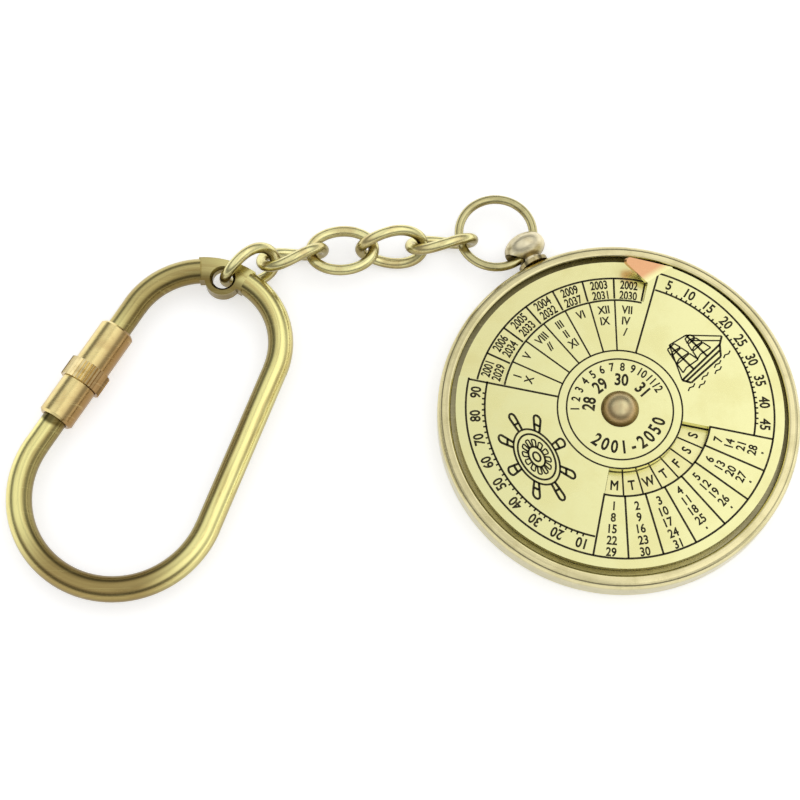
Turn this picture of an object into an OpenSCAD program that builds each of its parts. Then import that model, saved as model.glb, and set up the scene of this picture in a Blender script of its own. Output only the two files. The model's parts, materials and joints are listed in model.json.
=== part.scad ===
// Perpetual calendar on a key shackle: a turning dial over a fixed dial in a shallow round case,
// with a ball pendant, a bow ring, a twisted chain and an oval shackle closed by a screw sleeve.
// The back of the case lies on z = 0, the middle of the dials is x = y = 0, and the chain runs to -x.

/* [Case] */
// Outer diameter of the case
case_d = 45; // [40:0.5:52]
// Height of the rim above the back
case_h = 4.6; // [4.2:0.1:5]
// Radius of the rounded edge between wall and back
back_round = 1.3; // [0.6:0.1:2]
// Width of the rim's top
rim_w = 1.65; // [1.5:0.05:2.4]
// Radius of the rim's inner top edge
rim_inner_round = 0.35; // [0.2:0.05:0.5]
// Radius of the rim's outer top edge
rim_outer_round = 1; // [0.4:0.05:1.1]
// Thickness of the floor under the fixed dial
floor_t = 2.8; // [2.2:0.1:3.2]

/* [Dials] */
// Open groove between the dials and the rim
dial_gap = 0.6; // [0.4:0.05:1]
// Thickness of the fixed dial
base_t = 1.2; // [0.8:0.1:1.6]
// Thickness of the turning dial
top_t = 0.9; // [0.6:0.05:1.2]
// Thickness of the washer between the dials
washer_t = 0.3; // [0.2:0.05:0.6]
// Outer diameter of that washer
washer_d = 6.4; // [5:0.1:9]
// Diameter at the inner edge of the year window
year_window_d = 29.4; // [26:0.2:33]
// Direction of the year window's first edge
year_window_from = 76; // [60:0.5:90]
// Arc of the year window
year_window_arc = 91.5; // [80:0.5:100]
// Diameter at the inner edge of the weekday window
weekday_in_d = 15.6; // [13:0.2:18]
// Diameter at the outer edge of the weekday window
weekday_out_d = 22.2; // [20:0.2:25]
// Direction of the weekday window's first edge
weekday_from = 258; // [240:0.5:270]
// Arc of the weekday window, seven cells
weekday_arc = 90; // [80:1:100]
// Length of the thumb tab's fold line
tab_fold = 3.7; // [2.6:0.1:4]
// Reach of the thumb tab from its fold line
tab_reach = 3.9; // [2.5:0.1:5]
// How far the thumb tab is bent up
tab_bend = 24; // [10:1:40]
// Radius of the thumb tab's blunt point
tab_point_r = 0.5; // [0.3:0.05:0.9]
// Slant of the thumb tab's fold line from the window's edge
tab_slant = 43; // [35:1:50]
// Sideways skew of the thumb tab's point
tab_skew = 0.75; // [0.4:0.05:1.5]

/* [Rivet] */
// Diameter of the pivot rivet's shank
rivet_d = 3; // [2:0.1:4]
// Diameter of the domed head
rivet_head_d = 4.7; // [4.2:0.1:6]
// Height of the domed head
rivet_head_h = 1.8; // [1:0.1:2]
// Diameter of the spread tail in the back
rivet_tail_d = 4.4; // [3.6:0.1:6]
// Height of the spread tail
rivet_tail_h = 0.7; // [0.4:0.1:1.2]
// How deep the tail lies below the back face
rivet_tail_sink = 0.15; // [0.05:0.05:0.4]

/* [Pendant] */
// Direction in which the pendant stands out of the case
pendant_angle = 116; // [100:1:130]
// Diameter of the collar on the case wall
collar_d = 3.9; // [3.2:0.1:4.6]
// Thickness of the collar
collar_t = 0.5; // [0.4:0.05:1.2]
// Diameter of the neck between collar and ball
neck_d = 2.3; // [1.8:0.1:3]
// Length of the neck that shows
neck_len = 0.4; // [0.2:0.05:0.8]
// Diameter of the stem in the case wall
stem_d = 1.6; // [1.2:0.1:1.8]
// Depth of the stem in the case wall
stem_len = 1.4; // [0.8:0.1:1.6]
// Diameter of the squat ball
ball_d = 5.5; // [5:0.1:5.6]
// Length of the ball along the pendant
ball_len = 3.7; // [3.5:0.1:4.4]
// Diameter of the cross hole in the ball
ball_hole_d = 2.3; // [2:0.05:2.5]
// Diameter of the flared mouths of the cross hole
ball_mouth_d = 3.5; // [3:0.1:4]
// Turn of the cross hole from the line of the case wall
ball_hole_turn = 26; // [15:1:30]
// Shift of the cross hole from the ball's middle towards the case
ball_hole_set = 0.3; // [0:0.05:0.5]

/* [Bow ring] */
// Outer diameter of the bow ring
ring_d = 10.7; // [10:0.1:13]
// Wire diameter of the bow ring
ring_wire_d = 1.15; // [0.9:0.05:1.2]
// Sideways lean of the bow ring from the pendant's direction
ring_lean = 33.5; // [25:0.5:40]
// How far the ring's wire runs behind the middle of the ball
ring_set = 0.53; // [0.4:0.01:0.6]

/* [Chain] */
// Wire diameter of the links
wire_d = 1.4; // [1:0.05:1.6]
// Outer length of a link
link_len = 9.5; // [9:0.1:12]
// Outer width of a link, untwisted
link_w = 6.8; // [6.2:0.1:8]
// Outer length of the link in the eye
eye_link_len = 8.4; // [8:0.1:10]
// Free play between two linked wires
link_play = 0.3; // [0.2:0.05:0.5]
// Free play between the bow ring and the first link
ring_play = 0.3; // [0.25:0.05:0.5]
// Free play between the last link and the eye link
eye_link_play = 0.4; // [0.3:0.05:0.6]
// Height of the chain and the shackle above the plane of the ball
chain_lift = 0.5; // [0.4:0.05:0.7]
// Place of the first link on the bow ring
chain_contact = 197; // [185:1:205]

/* [Shackle] */
// Rod diameter of the shackle
rod_d = 3.2; // [2.6:0.1:3.6]
// Bend radius of the narrow end
top_bend_r = 10; // [9:0.1:12]
// Bend radius of the wide end
bottom_bend_r = 12; // [10.5:0.1:14]
// Distance between the middles of the two bends
bend_span = 21.8; // [20:0.2:28]
// Direction of the shackle's long axis
shackle_angle = 64; // [50:1:80]
// Place of the eye on the narrow end, from the long axis
eye_angle = 10; // [0:1:20]
// Arc of the flattened eye
eye_arc = 38; // [34:1:44]
// Thickness of the flattened eye
eye_t = 1.7; // [1.3:0.1:2]
// Diameter of the eye's hole
eye_hole_d = 2.6; // [2.4:0.05:3]
// Wall between the eye's hole and its outer edge
eye_wall = 1.25; // [1:0.05:1.5]
// Wall between the eye's hole and its inner edge
eye_inner_wall = 1; // [0.8:0.05:1.3]
// Chamfer of the eye's hole
eye_chamfer = 0.35; // [0.1:0.05:0.5]
// Free play between the eye link and its hole
eye_play = 0.35; // [0.25:0.05:0.5]

/* [Sleeve] */
// Length of the screw sleeve
sleeve_len = 14; // [12:0.5:16]
// Outer diameter of the screw sleeve
sleeve_d = 4.6; // [4.2:0.1:5.4]
// Distance of the closed sleeve from the wide bend
sleeve_start = 3.9; // [3:0.1:5]
// Length of the lower rod end inside the closed sleeve
sleeve_grip = 1.3; // [1:0.1:1.6]
// Free gap between the two rod ends
rod_gap = 2.8; // [2:0.1:3]
// Chamfer of the sleeve's ends
sleeve_chamfer = 0.3; // [0.1:0.05:0.4]
// Width of the knurled band
band_w = 2.6; // [2:0.1:4]
// Outer diameter of the knurled band
band_d = 5.5; // [5:0.1:6]
// Distance of the band from the sleeve's lower end
band_start = 5.3; // [4:0.1:7]
// Depth of the band's seat in the sleeve
band_seat = 0.25; // [0.1:0.05:0.35]
// Depth of the knurling
knurl_depth = 0.22; // [0.1:0.02:0.3]
// Number of knurls round the band
knurls = 34; // [24:1:44]
// Width of the band's split
band_split = 0.35; // [0.2:0.05:0.6]

/* [Clearances] */
// Radial clearance of turning and sliding fits
running_gap = 0.06; // [0.03:0.01:0.1]
// Height of the lowest piece of the chain side above the table
table_gap = 0.1; // [0.05:0.05:0.4]

/* [Hidden] */
$fn = 96;
// Facets of a large round that a small piece is seated on
fine_fn = 720;

bright_brass = [0.86, 0.80, 0.46];
dial_brass = [0.90, 0.88, 0.58];
dull_brass = [0.66, 0.60, 0.34];
rivet_bronze = [0.70, 0.50, 0.30];

// Small overlap that keeps cuts from ending on a face
eps = 0.01;
// How far a cut runs on past an open side
cut_over = 1;

// Heights of the stack
case_r = case_d / 2;
recess_r = case_r - rim_w;
dial_r = recess_r - dial_gap;
base_top = floor_t + base_t;
washer_top = base_top + washer_t;
dial_bottom = washer_top + running_gap;
dial_top = dial_bottom + top_t;
head_bottom = dial_top + running_gap;

// The ball and the ring share one plane above the table
lay_z = max(band_d, ball_d) / 2 + table_gap;
// The chain and the shackle lie a little higher, where the standing links clear the table
chain_z = lay_z + chain_lift;

function heading(angle) = [cos(angle), sin(angle)];

// The tab's fold line cuts the dial's corner beside the year window
tab_foot = (dial_r - tab_fold * cos(tab_slant)) * heading(year_window_from);
tab_heading = year_window_from - tab_slant;

// Pendant and bow ring
collar_top = case_r + collar_t;
ball_mid = collar_top + neck_len + ball_len / 2;
ball_place = ball_mid * heading(pendant_angle);
hole_angle = pendant_angle - 90 + ball_hole_turn;
ball_hole_place = ball_place - ball_hole_set * heading(pendant_angle);
ring_r = (ring_d - ring_wire_d) / 2;
ring_place = ball_place + (ring_r - ring_set) * heading(pendant_angle + ring_lean);

// Chain, from the ring to the eye: the heading of each link, and the twist of its two ends
link_headings = [6, 4, 4, 12, 28];
right_twists = [-80, 45, 0, -85, 50];
left_twists = [-45, 85, 0, -35, 90];
link_count = len(link_headings);
function outer_length(i) = i == link_count - 1 ? eye_link_len : link_len;
function bow_span(i) = outer_length(i) - wire_d;
first_end = ring_place + ring_r * heading(chain_contact)
    + ((ring_wire_d + wire_d) / 2 + ring_play) * heading(link_headings[0]);
function play(i) = i == link_count - 1 ? eye_link_play : link_play;
function right_end(i) = i == 0
    ? first_end
    : left_end(i - 1) + (wire_d + play(i)) * heading(link_headings[i]);
function left_end(i) = right_end(i) - bow_span(i) * heading(link_headings[i]);
function link_middle(i) = (right_end(i) + left_end(i)) / 2;

// Shackle, in its own plane: the narrow bend's middle is the origin and +y is the long axis
taper = asin((bottom_bend_r - top_bend_r) / bend_span);
bottom_middle = [0, -bend_span];
straight_len = sqrt(pow(bend_span, 2) - pow(bottom_bend_r - top_bend_r, 2));
eye_middle_angle = 90 + eye_angle;
eye_right_angle = eye_middle_angle - eye_arc / 2;
eye_left_angle = eye_middle_angle + eye_arc / 2;
eye_outer_r = top_bend_r + rod_d / 2;
eye_hole_r = eye_outer_r - eye_wall - eye_hole_d / 2;
eye_hole_place = eye_hole_r * heading(eye_middle_angle);
shackle_turn = shackle_angle - 90;
eye_link_shift = (eye_hole_d - wire_d) / 2 - eye_play;
eye_place = left_end(link_count - 1) - eye_link_shift * heading(link_headings[link_count - 1]);

// Bends are a hair thicker than the straight rod, and reach into what they meet
bend_swell = 0.04;
straight_d = rod_d - bend_swell;
joint_lap = 0.2;
// The eye's straight flanks run a hair inside the round about its hole
fair_set = 0.05;

// Sleeve, measured along the rod from the wide bend
gap_start = sleeve_start + sleeve_grip;
gap_end = gap_start + rod_gap;
sleeve_bore_d = straight_d + 2 * running_gap;
seat_d = sleeve_d - 2 * band_seat;
band_bore_d = seat_d + 2 * running_gap;
band_seat_w = band_w + 2 * running_gap;

// Chain links are swept in rings of points
link_rings = 44;
link_sides = 12;

// A point of the shackle's plane, in the frame of the whole part
function turned(p, angle) = [p.x * cos(angle) - p.y * sin(angle), p.x * sin(angle) + p.y * cos(angle)];
function shackle_point(p) = eye_place + turned(p - eye_hole_place, shackle_turn);
sleeve_foot = bottom_middle + bottom_bend_r * heading(180 - taper);

// Places and directions of the joints
echo(ball_hole = [ball_hole_place.x, ball_hole_place.y, lay_z], hole_angle = hole_angle);
echo(ring_contact = ring_place + ring_r * heading(chain_contact), ring_place = ring_place);
echo(link_left_ends = [for (i = [0:link_count - 1]) left_end(i)]);
echo(link_right_ends = [for (i = [0:link_count - 1]) right_end(i)]);
echo(eye_place = eye_place, lay_z = lay_z, chain_z = chain_z, dial_top = dial_top);
echo(sleeve_foot = shackle_point(sleeve_foot), sleeve_angle = shackle_angle - taper);
echo(sleeve_travel = gap_end - sleeve_start);

// Points of an arc about a middle, from one angle to another
function arc_points(middle, r, from, to, steps = 8) =
    [for (k = [0:steps]) middle + r * heading(from + (to - from) * k / steps)];

// A flat wedge from the middle, for cutting sectors
module wedge(r, from, arc, steps = 12) {
    polygon(concat([[0, 0]], [for (k = [0:steps]) r * heading(from + arc * k / steps)]));
}

// A ring-shaped window between two diameters, over an arc
module window(in_d, out_d, from, arc) {
    intersection() {
        difference() {
            circle(d = out_d);
            circle(d = in_d);
        }
        wedge(out_d, from, arc);
    }
}

// A straight rod between two points of the shackle's plane
module rod_between(from, to, d) {
    run = to - from;
    translate([from.x, from.y, 0])
        rotate([0, 0, atan2(run.y, run.x)])
            rotate([0, 90, 0])
                cylinder(d = d, h = norm(run));
}

// A bent rod in the shackle's plane
module rod_bend(middle, bend_r, from, to, d) {
    translate([middle.x, middle.y, 0])
        rotate([0, 0, from])
            rotate_extrude(angle = to - from)
                translate([bend_r, 0])
                    circle(d = d);
}

// Places its children along the pendant: +z is the pendant's direction, from the middle of the case
module on_pendant() {
    translate([0, 0, lay_z])
        rotate([0, 0, pendant_angle])
            rotate([0, 90, 0])
                children();
}

// Places its children in the shackle's plane, with the eye on the last link
module on_shackle() {
    translate([eye_place.x, eye_place.y, chain_z])
        rotate([0, 0, shackle_turn])
            translate([-eye_hole_place.x, -eye_hole_place.y, 0])
                children();
}

// Places its children along the sleeve's rod: +z runs up the rod from the wide bend
module on_sleeve_rod() {
    on_shackle()
        translate([sleeve_foot.x, sleeve_foot.y, 0])
            rotate([0, 0, 90 - taper])
                rotate([0, 90, 0])
                    children();
}

module case() {
    color(bright_brass)
    difference() {
        rotate_extrude()
            polygon(concat(
                [[0, 0]],
                arc_points([case_r - back_round, back_round], back_round, -90, 0),
                arc_points([case_r - rim_outer_round, case_h - rim_outer_round], rim_outer_round, 0, 90),
                arc_points([recess_r + rim_inner_round, case_h - rim_inner_round],
                    rim_inner_round, 90, 180, 5),
                [[recess_r, floor_t], [0, floor_t]]
            ));
        translate([0, 0, -eps])
            cylinder(d = rivet_d, h = floor_t + 2 * eps);
        translate([0, 0, rivet_tail_sink])
            cylinder(d1 = rivet_tail_d, d2 = rivet_d, h = rivet_tail_h);
        translate([0, 0, -eps])
            cylinder(d = rivet_tail_d, h = rivet_tail_sink + eps);
        on_pendant()
            translate([0, 0, case_r - stem_len])
                cylinder(d = stem_d, h = stem_len + cut_over);
    }
}

module base_dial() {
    color(dial_brass)
    translate([0, 0, floor_t])
        difference() {
            cylinder(r = dial_r, h = base_t);
            translate([0, 0, -eps])
                cylinder(d = rivet_d, h = base_t + 2 * eps);
        }
}

module friction_washer() {
    color(dull_brass)
    translate([0, 0, base_top])
        difference() {
            cylinder(d = washer_d, h = washer_t);
            translate([0, 0, -eps])
                cylinder(d = rivet_d, h = washer_t + 2 * eps);
        }
}

// Places its children at the fold line: +x runs along it, +y is the tab's reach, z = 0 is the dial's top
module on_tab_fold() {
    translate([tab_foot.x, tab_foot.y, dial_top])
        rotate([0, 0, tab_heading])
            children();
}

// Outline of the tab before it is bent: a skewed tongue with a blunt point
module tab_outline() {
    point = [-tab_skew, tab_reach - tab_point_r];
    hull() {
        translate([0, -tab_point_r])
            square([tab_fold, tab_point_r]);
        translate(point)
            circle(r = tab_point_r, $fn = 32);
    }
}

module top_dial() {
    // The dial's corner beyond the fold line is cut away
    corner_w = 3 * tab_fold;
    color(dial_brass)
    union() {
        difference() {
            translate([0, 0, dial_bottom])
                cylinder(r = dial_r, h = top_t);
            translate([0, 0, dial_bottom - eps])
                cylinder(d = rivet_d + 2 * running_gap, h = top_t + 2 * eps);
            translate([0, 0, dial_bottom - eps])
                linear_extrude(top_t + 2 * eps)
                    window(year_window_d, 2 * (dial_r + cut_over), year_window_from, year_window_arc);
            translate([0, 0, dial_bottom - eps])
                linear_extrude(top_t + 2 * eps)
                    window(weekday_in_d, weekday_out_d, weekday_from, weekday_arc);
            on_tab_fold()
                translate([-tab_fold, 0, -top_t - eps])
                    cube([corner_w, tab_reach, top_t + 2 * eps]);
        }
        on_tab_fold()
            rotate([tab_bend, 0, 0])
                translate([0, 0, -top_t])
                    linear_extrude(top_t)
                        tab_outline();
    }
}

module pivot_rivet() {
    dome_r = (pow(rivet_head_d / 2, 2) + pow(rivet_head_h, 2)) / (2 * rivet_head_h);
    color(rivet_bronze)
    union() {
        translate([0, 0, rivet_tail_sink])
            cylinder(d1 = rivet_tail_d, d2 = rivet_d, h = rivet_tail_h);
        translate([0, 0, rivet_tail_sink])
            cylinder(d = rivet_d, h = head_bottom - rivet_tail_sink + eps);
        intersection() {
            translate([0, 0, head_bottom + rivet_head_h - dome_r])
                sphere(r = dome_r);
            translate([0, 0, head_bottom])
                cylinder(d = rivet_head_d, h = rivet_head_h + cut_over);
        }
    }
}

module pendant_collar() {
    color(bright_brass)
    difference() {
        on_pendant()
            translate([0, 0, case_r - cut_over])
                difference() {
                    cylinder(d = collar_d, h = collar_t + cut_over);
                    translate([0, 0, -eps])
                        cylinder(d = stem_d, h = collar_t + cut_over + 2 * eps);
                }
        cylinder(r = case_r, h = 2 * lay_z, $fn = fine_fn);
    }
}

module pendant_ball() {
    half = ball_len / 2;
    mouth_start = ball_d / 4;
    steps = 24;
    color(bright_brass)
    difference() {
        on_pendant()
            union() {
                translate([0, 0, case_r - stem_len])
                    cylinder(d = stem_d, h = stem_len + collar_t + eps);
                translate([0, 0, collar_top])
                    cylinder(d = neck_d, h = neck_len + half);
                translate([0, 0, ball_mid])
                    rotate_extrude()
                        polygon([for (k = [0:steps])
                            [ball_d / 2 * sin(180 * k / steps), half * cos(180 * k / steps)]]);
            }
        translate([ball_hole_place.x, ball_hole_place.y, lay_z])
            rotate([0, 0, hole_angle])
                rotate([0, 90, 0]) {
                    cylinder(d = ball_hole_d, h = 2 * ball_d, center = true);
                    for (flip = [0, 180])
                        rotate([flip, 0, 0])
                            translate([0, 0, mouth_start])
                                cylinder(d1 = ball_hole_d, d2 = ball_mouth_d, h = ball_d / 2 - mouth_start);
                }
    }
}

module bow_ring() {
    color(dull_brass)
    translate([ring_place.x, ring_place.y, lay_z])
        rotate_extrude()
            translate([ring_r, 0])
                circle(d = ring_wire_d);
}

// A twisted link: an oval of wire whose ends are turned out of its middle plane
module twisted_link(outer_len, from_twist, to_twist) {
    half_len = (outer_len - wire_d) / 2;
    half_w = (link_w - wire_d) / 2;
    function spine(t) =
        let (
            x = half_len * cos(t),
            r = half_w * sin(t),
            twist = (from_twist + to_twist) / 2 + (to_twist - from_twist) / 2 * cos(t)
        )
        [x, r * cos(twist), r * sin(twist)];
    function unit(v) = v / norm(v);
    function ring_points(t) =
        let (
            run = unit(spine(t + 0.5) - spine(t - 0.5)),
            out = unit(cross(cross(run, spine(t) + [0, 0, eps]), run)),
            up = cross(run, out)
        )
        [for (k = [0:link_sides - 1])
            spine(t) + wire_d / 2 * (cos(360 * k / link_sides) * out + sin(360 * k / link_sides) * up)];
    points = [for (i = [0:link_rings - 1]) each ring_points(360 * i / link_rings)];
    function corner(i, k) = (i % link_rings) * link_sides + k % link_sides;
    faces = [for (i = [0:link_rings - 1], k = [0:link_sides - 1], half = [0, 1])
        half == 0
            ? [corner(i, k), corner(i + 1, k + 1), corner(i, k + 1)]
            : [corner(i, k), corner(i + 1, k), corner(i + 1, k + 1)]];
    polyhedron(points, faces, convexity = 6);
}

module chain_link(i) {
    color(dull_brass)
    translate([link_middle(i).x, link_middle(i).y, chain_z])
        rotate([0, 0, link_headings[i]])
            twisted_link(outer_length(i), left_twists[i], right_twists[i]);
}

// Where a line from a point outside a circle touches it, on the side that the sign gives
function touch_point(p, middle, r, sign) =
    let (away = p - middle, side = acos(r / norm(away)))
    middle + r / norm(away) * turned(away, sign * side);

// The flattened eye: a slice of the bend, widened inwards round the hole
module eye_plate() {
    plate_r = eye_hole_d / 2 + eye_inner_wall;
    inner_r = top_bend_r - rod_d / 2;
    right_corner = inner_r * heading(eye_right_angle);
    left_corner = inner_r * heading(eye_left_angle);
    fair_r = plate_r - fair_set;
    translate([0, 0, -eye_t / 2])
        difference() {
            linear_extrude(eye_t)
                intersection() {
                    circle(r = eye_outer_r);
                    union() {
                        difference() {
                            wedge(2 * eye_outer_r, eye_right_angle, eye_arc);
                            circle(r = inner_r);
                        }
                        translate(eye_hole_place)
                            circle(r = plate_r);
                        polygon([
                            right_corner, touch_point(right_corner, eye_hole_place, fair_r, 1),
                            touch_point(left_corner, eye_hole_place, fair_r, -1), left_corner,
                            eye_hole_place]);
                    }
                }
            translate([eye_hole_place.x, eye_hole_place.y, -eps])
                cylinder(d = eye_hole_d, h = eye_t + 2 * eps);
            for (flip = [0, 1])
                translate([eye_hole_place.x, eye_hole_place.y, flip * (eye_t - eye_chamfer)])
                    cylinder(
                        d1 = eye_hole_d + (1 - flip) * 2 * eye_chamfer,
                        d2 = eye_hole_d + flip * 2 * eye_chamfer,
                        h = eye_chamfer);
        }
}

module shackle_rod() {
    right = heading(taper);
    up = heading(90 - taper);
    down_right = heading(270 + taper);
    eye_lap = joint_lap / top_bend_r * 180 / PI;
    color(dull_brass)
    on_shackle()
        union() {
            eye_plate();
            rod_bend([0, 0], top_bend_r, taper, eye_right_angle + eye_lap, rod_d);
            rod_between(top_bend_r * right - joint_lap * down_right,
                bottom_middle + bottom_bend_r * right + joint_lap * down_right, straight_d);
            rod_bend(bottom_middle, bottom_bend_r, 180 - taper, 360 + taper, rod_d);
            rod_between(sleeve_foot - joint_lap * up, sleeve_foot + gap_start * up, straight_d);
            rod_between(sleeve_foot + gap_end * up,
                sleeve_foot + (straight_len + joint_lap) * up, straight_d);
            rod_bend([0, 0], top_bend_r, eye_left_angle - eye_lap, 180 - taper, rod_d);
        }
}

module sleeve_barrel() {
    r = sleeve_d / 2;
    color(bright_brass)
    on_sleeve_rod()
        translate([0, 0, sleeve_start])
            difference() {
                rotate_extrude()
                    polygon([
                        [0, 0],
                        [r - sleeve_chamfer, 0],
                        [r, sleeve_chamfer],
                        [r, sleeve_len - sleeve_chamfer],
                        [r - sleeve_chamfer, sleeve_len],
                        [0, sleeve_len]
                    ]);
                translate([0, 0, -eps])
                    cylinder(d = sleeve_bore_d, h = sleeve_len + 2 * eps);
                translate([0, 0, band_start])
                    difference() {
                        cylinder(d = 2 * sleeve_d, h = band_seat_w);
                        cylinder(d = seat_d, h = band_seat_w);
                    }
            }
}

module knurled_band() {
    crest_r = band_d / 2;
    root_r = crest_r - knurl_depth;
    color(bright_brass)
    on_sleeve_rod()
        translate([0, 0, sleeve_start + band_start + running_gap])
            difference() {
                linear_extrude(band_w)
                    polygon([for (k = [0:2 * knurls - 1])
                        (k % 2 == 0 ? crest_r : root_r) * heading(180 * k / knurls)]);
                translate([0, 0, -eps])
                    cylinder(d = band_bore_d, h = band_w + 2 * eps);
                translate([0, -band_split / 2, -eps])
                    cube([band_d, band_split, band_w + 2 * eps]);
            }
}

case();
base_dial();
friction_washer();
top_dial();
pivot_rivet();
pendant_collar();
pendant_ball();
bow_ring();
chain_link(0);  // chain_link_1
chain_link(1);  // chain_link_2
chain_link(2);  // chain_link_3
chain_link(3);  // chain_link_4
chain_link(4);  // eye_link
shackle_rod();
sleeve_barrel();
knurled_band();
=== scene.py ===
"""Looks of a brass perpetual calendar on a key shackle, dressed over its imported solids."""

import json
import logging
import math
from dataclasses import dataclass, field
from datetime import date
from enum import Enum
from typing import Optional, Sequence, Union

import bpy
import numpy as np
from mathutils import Matrix, Vector


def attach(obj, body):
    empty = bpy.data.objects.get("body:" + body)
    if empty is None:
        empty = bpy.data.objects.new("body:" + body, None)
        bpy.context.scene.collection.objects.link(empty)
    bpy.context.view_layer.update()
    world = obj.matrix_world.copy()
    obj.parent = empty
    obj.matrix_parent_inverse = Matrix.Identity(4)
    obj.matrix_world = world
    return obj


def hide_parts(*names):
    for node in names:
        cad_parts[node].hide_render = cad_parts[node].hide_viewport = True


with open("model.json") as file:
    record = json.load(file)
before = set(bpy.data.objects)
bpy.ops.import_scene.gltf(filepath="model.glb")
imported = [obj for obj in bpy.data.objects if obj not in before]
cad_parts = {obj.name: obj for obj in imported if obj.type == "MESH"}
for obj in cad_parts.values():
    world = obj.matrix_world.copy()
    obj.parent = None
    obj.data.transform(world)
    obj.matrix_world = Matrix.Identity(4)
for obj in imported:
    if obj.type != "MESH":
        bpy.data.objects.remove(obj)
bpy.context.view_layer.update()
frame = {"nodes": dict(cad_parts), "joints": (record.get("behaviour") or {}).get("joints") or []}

LOG = logging.getLogger("keyring")
MM = 0.001
DAYS = 7
CELLS = 4 * DAYS

Colour = tuple[float, float, float]
Point = tuple[float, float]
Span = tuple[float, float]
Line = Sequence[Point]
Shape = tuple[np.ndarray, list[tuple[int, ...]]]


class Field:
    """A node socket whose operators add Math nodes to its graph."""

    def __init__(self, graph: "Graph", socket: bpy.types.NodeSocket) -> None:
        """Keeps the graph and the output socket."""
        self.graph = graph
        self.socket = socket

    def __add__(self, other: "Operand") -> "Field":
        """Adds a value or field."""
        return self.graph.math("ADD", self, other)

    def __radd__(self, other: "Operand") -> "Field":
        """Adds to a value."""
        return self.graph.math("ADD", other, self)

    def __sub__(self, other: "Operand") -> "Field":
        """Takes a value or field away."""
        return self.graph.math("SUBTRACT", self, other)

    def __rsub__(self, other: "Operand") -> "Field":
        """Is taken away from a value."""
        return self.graph.math("SUBTRACT", other, self)

    def __mul__(self, other: "Operand") -> "Field":
        """Multiplies by a value or field."""
        return self.graph.math("MULTIPLY", self, other)

    def __rmul__(self, other: "Operand") -> "Field":
        """Multiplies a value."""
        return self.graph.math("MULTIPLY", other, self)


Operand = Union[Field, float]
Setting = Union[Field, float, int, str, bool, tuple, bpy.types.ID]


class Graph:
    """A node tree that is written as expressions."""

    def __init__(self, tree: bpy.types.NodeTree) -> None:
        """Keeps the tree and clears it."""
        self.tree = tree
        tree.nodes.clear()

    def node(
        self,
        kind: str,
        settings: Optional[dict[str, object]] = None,
        sockets: Optional[dict[Union[str, int], Setting]] = None,
    ) -> bpy.types.Node:
        """Adds one node.

        Args:
            kind: The node's type.
            settings: Its own settings, set before its sockets.
            sockets: Values or links of its inputs, by name or number.

        Returns:
            The new node.
        """
        made = self.tree.nodes.new(kind)
        for name, value in (settings or {}).items():
            setattr(made, name, value)
        for key, value in (sockets or {}).items():
            if isinstance(value, Field):
                self.tree.links.new(value.socket, made.inputs[key])
            else:
                made.inputs[key].default_value = value
        return made

    def out(
        self,
        kind: str,
        settings: Optional[dict[str, object]] = None,
        sockets: Optional[dict[Union[str, int], Setting]] = None,
        output: Union[str, int] = 0,
    ) -> Field:
        """Adds one node and gives one of its outputs, by name or number."""
        return Field(self, self.node(kind, settings, sockets).outputs[output])

    def math(self, operation: str, a: Operand, b: Operand = 0.0) -> Field:
        """Adds a Math node and gives its result."""
        return self.out("ShaderNodeMath", {"operation": operation}, {0: a, 1: b})

    def step(self, value: Field, start: float, end: float) -> Field:
        """Ramps smoothly from 0 at start to 1 at end.

        Args:
            value: What is measured.
            start: Where the ramp begins.
            end: Where it reaches 1.

        Returns:
            The ramp.
        """
        sockets = {"Value": value, "From Min": start, "From Max": end}
        if start > end:
            sockets = {"Value": value, "From Min": end, "From Max": start, "To Min": 1.0, "To Max": 0.0}
        return self.out("ShaderNodeMapRange", {"interpolation_type": "SMOOTHSTEP"}, sockets)

    def blend(self, share: Operand, low: Setting, high: Setting) -> Field:
        """Mixes two colours, where share is how much of the second one shows."""
        return self.out("ShaderNodeMix", {"data_type": "RGBA"}, {0: share, 6: low, 7: high}, 2)

    def vector(self, operation: str, a: Setting, b: Setting) -> Field:
        """Adds a Vector Math node, whose second operand is the factor of a scaling."""
        second = "Scale" if operation == "SCALE" else 1
        return self.out("ShaderNodeVectorMath", {"operation": operation}, {0: a, second: b})

    def scalar(self, operation: str, a: Setting, b: Setting) -> Field:
        """Adds a Vector Math node that gives a number, such as a distance or a dot product."""
        return self.out("ShaderNodeVectorMath", {"operation": operation}, {0: a, 1: b}, "Value")

    def parts(self, vector: Field) -> tuple[Field, Field, Field]:
        """Splits a vector into its three parts."""
        x, y, z = self.node("ShaderNodeSeparateXYZ", sockets={0: vector}).outputs
        return Field(self, x), Field(self, y), Field(self, z)

    def noise(self, place: Field, size: float, detail: float, roughness: float) -> Field:
        """Makes noise whose clouds have a size in millimetres."""
        return self.out("ShaderNodeTexNoise", sockets={
            "Vector": place, "Scale": 1 / (size * MM), "Detail": detail, "Roughness": roughness})


def rgba(colour: Colour) -> tuple[float, float, float, float]:
    """Gives a colour an alpha of 1."""
    return (*colour, 1.0)


def polar(radius: float, angle: float) -> Point:
    """Turns a radius and an angle in degrees into a point."""
    return (radius * math.cos(math.radians(angle)), radius * math.sin(math.radians(angle)))


def joint(name: str) -> dict:
    """Finds a joint of the frame by its name."""
    return next(entry for entry in frame["joints"] if entry["name"] == name)


def new_material(name: str) -> tuple[bpy.types.Material, Graph]:
    """Makes an empty material.

    Args:
        name: Its name.

    Returns:
        The material and the graph of its nodes.
    """
    made = bpy.data.materials.new(name)
    made.use_nodes = True
    return made, Graph(made.node_tree)


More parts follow.
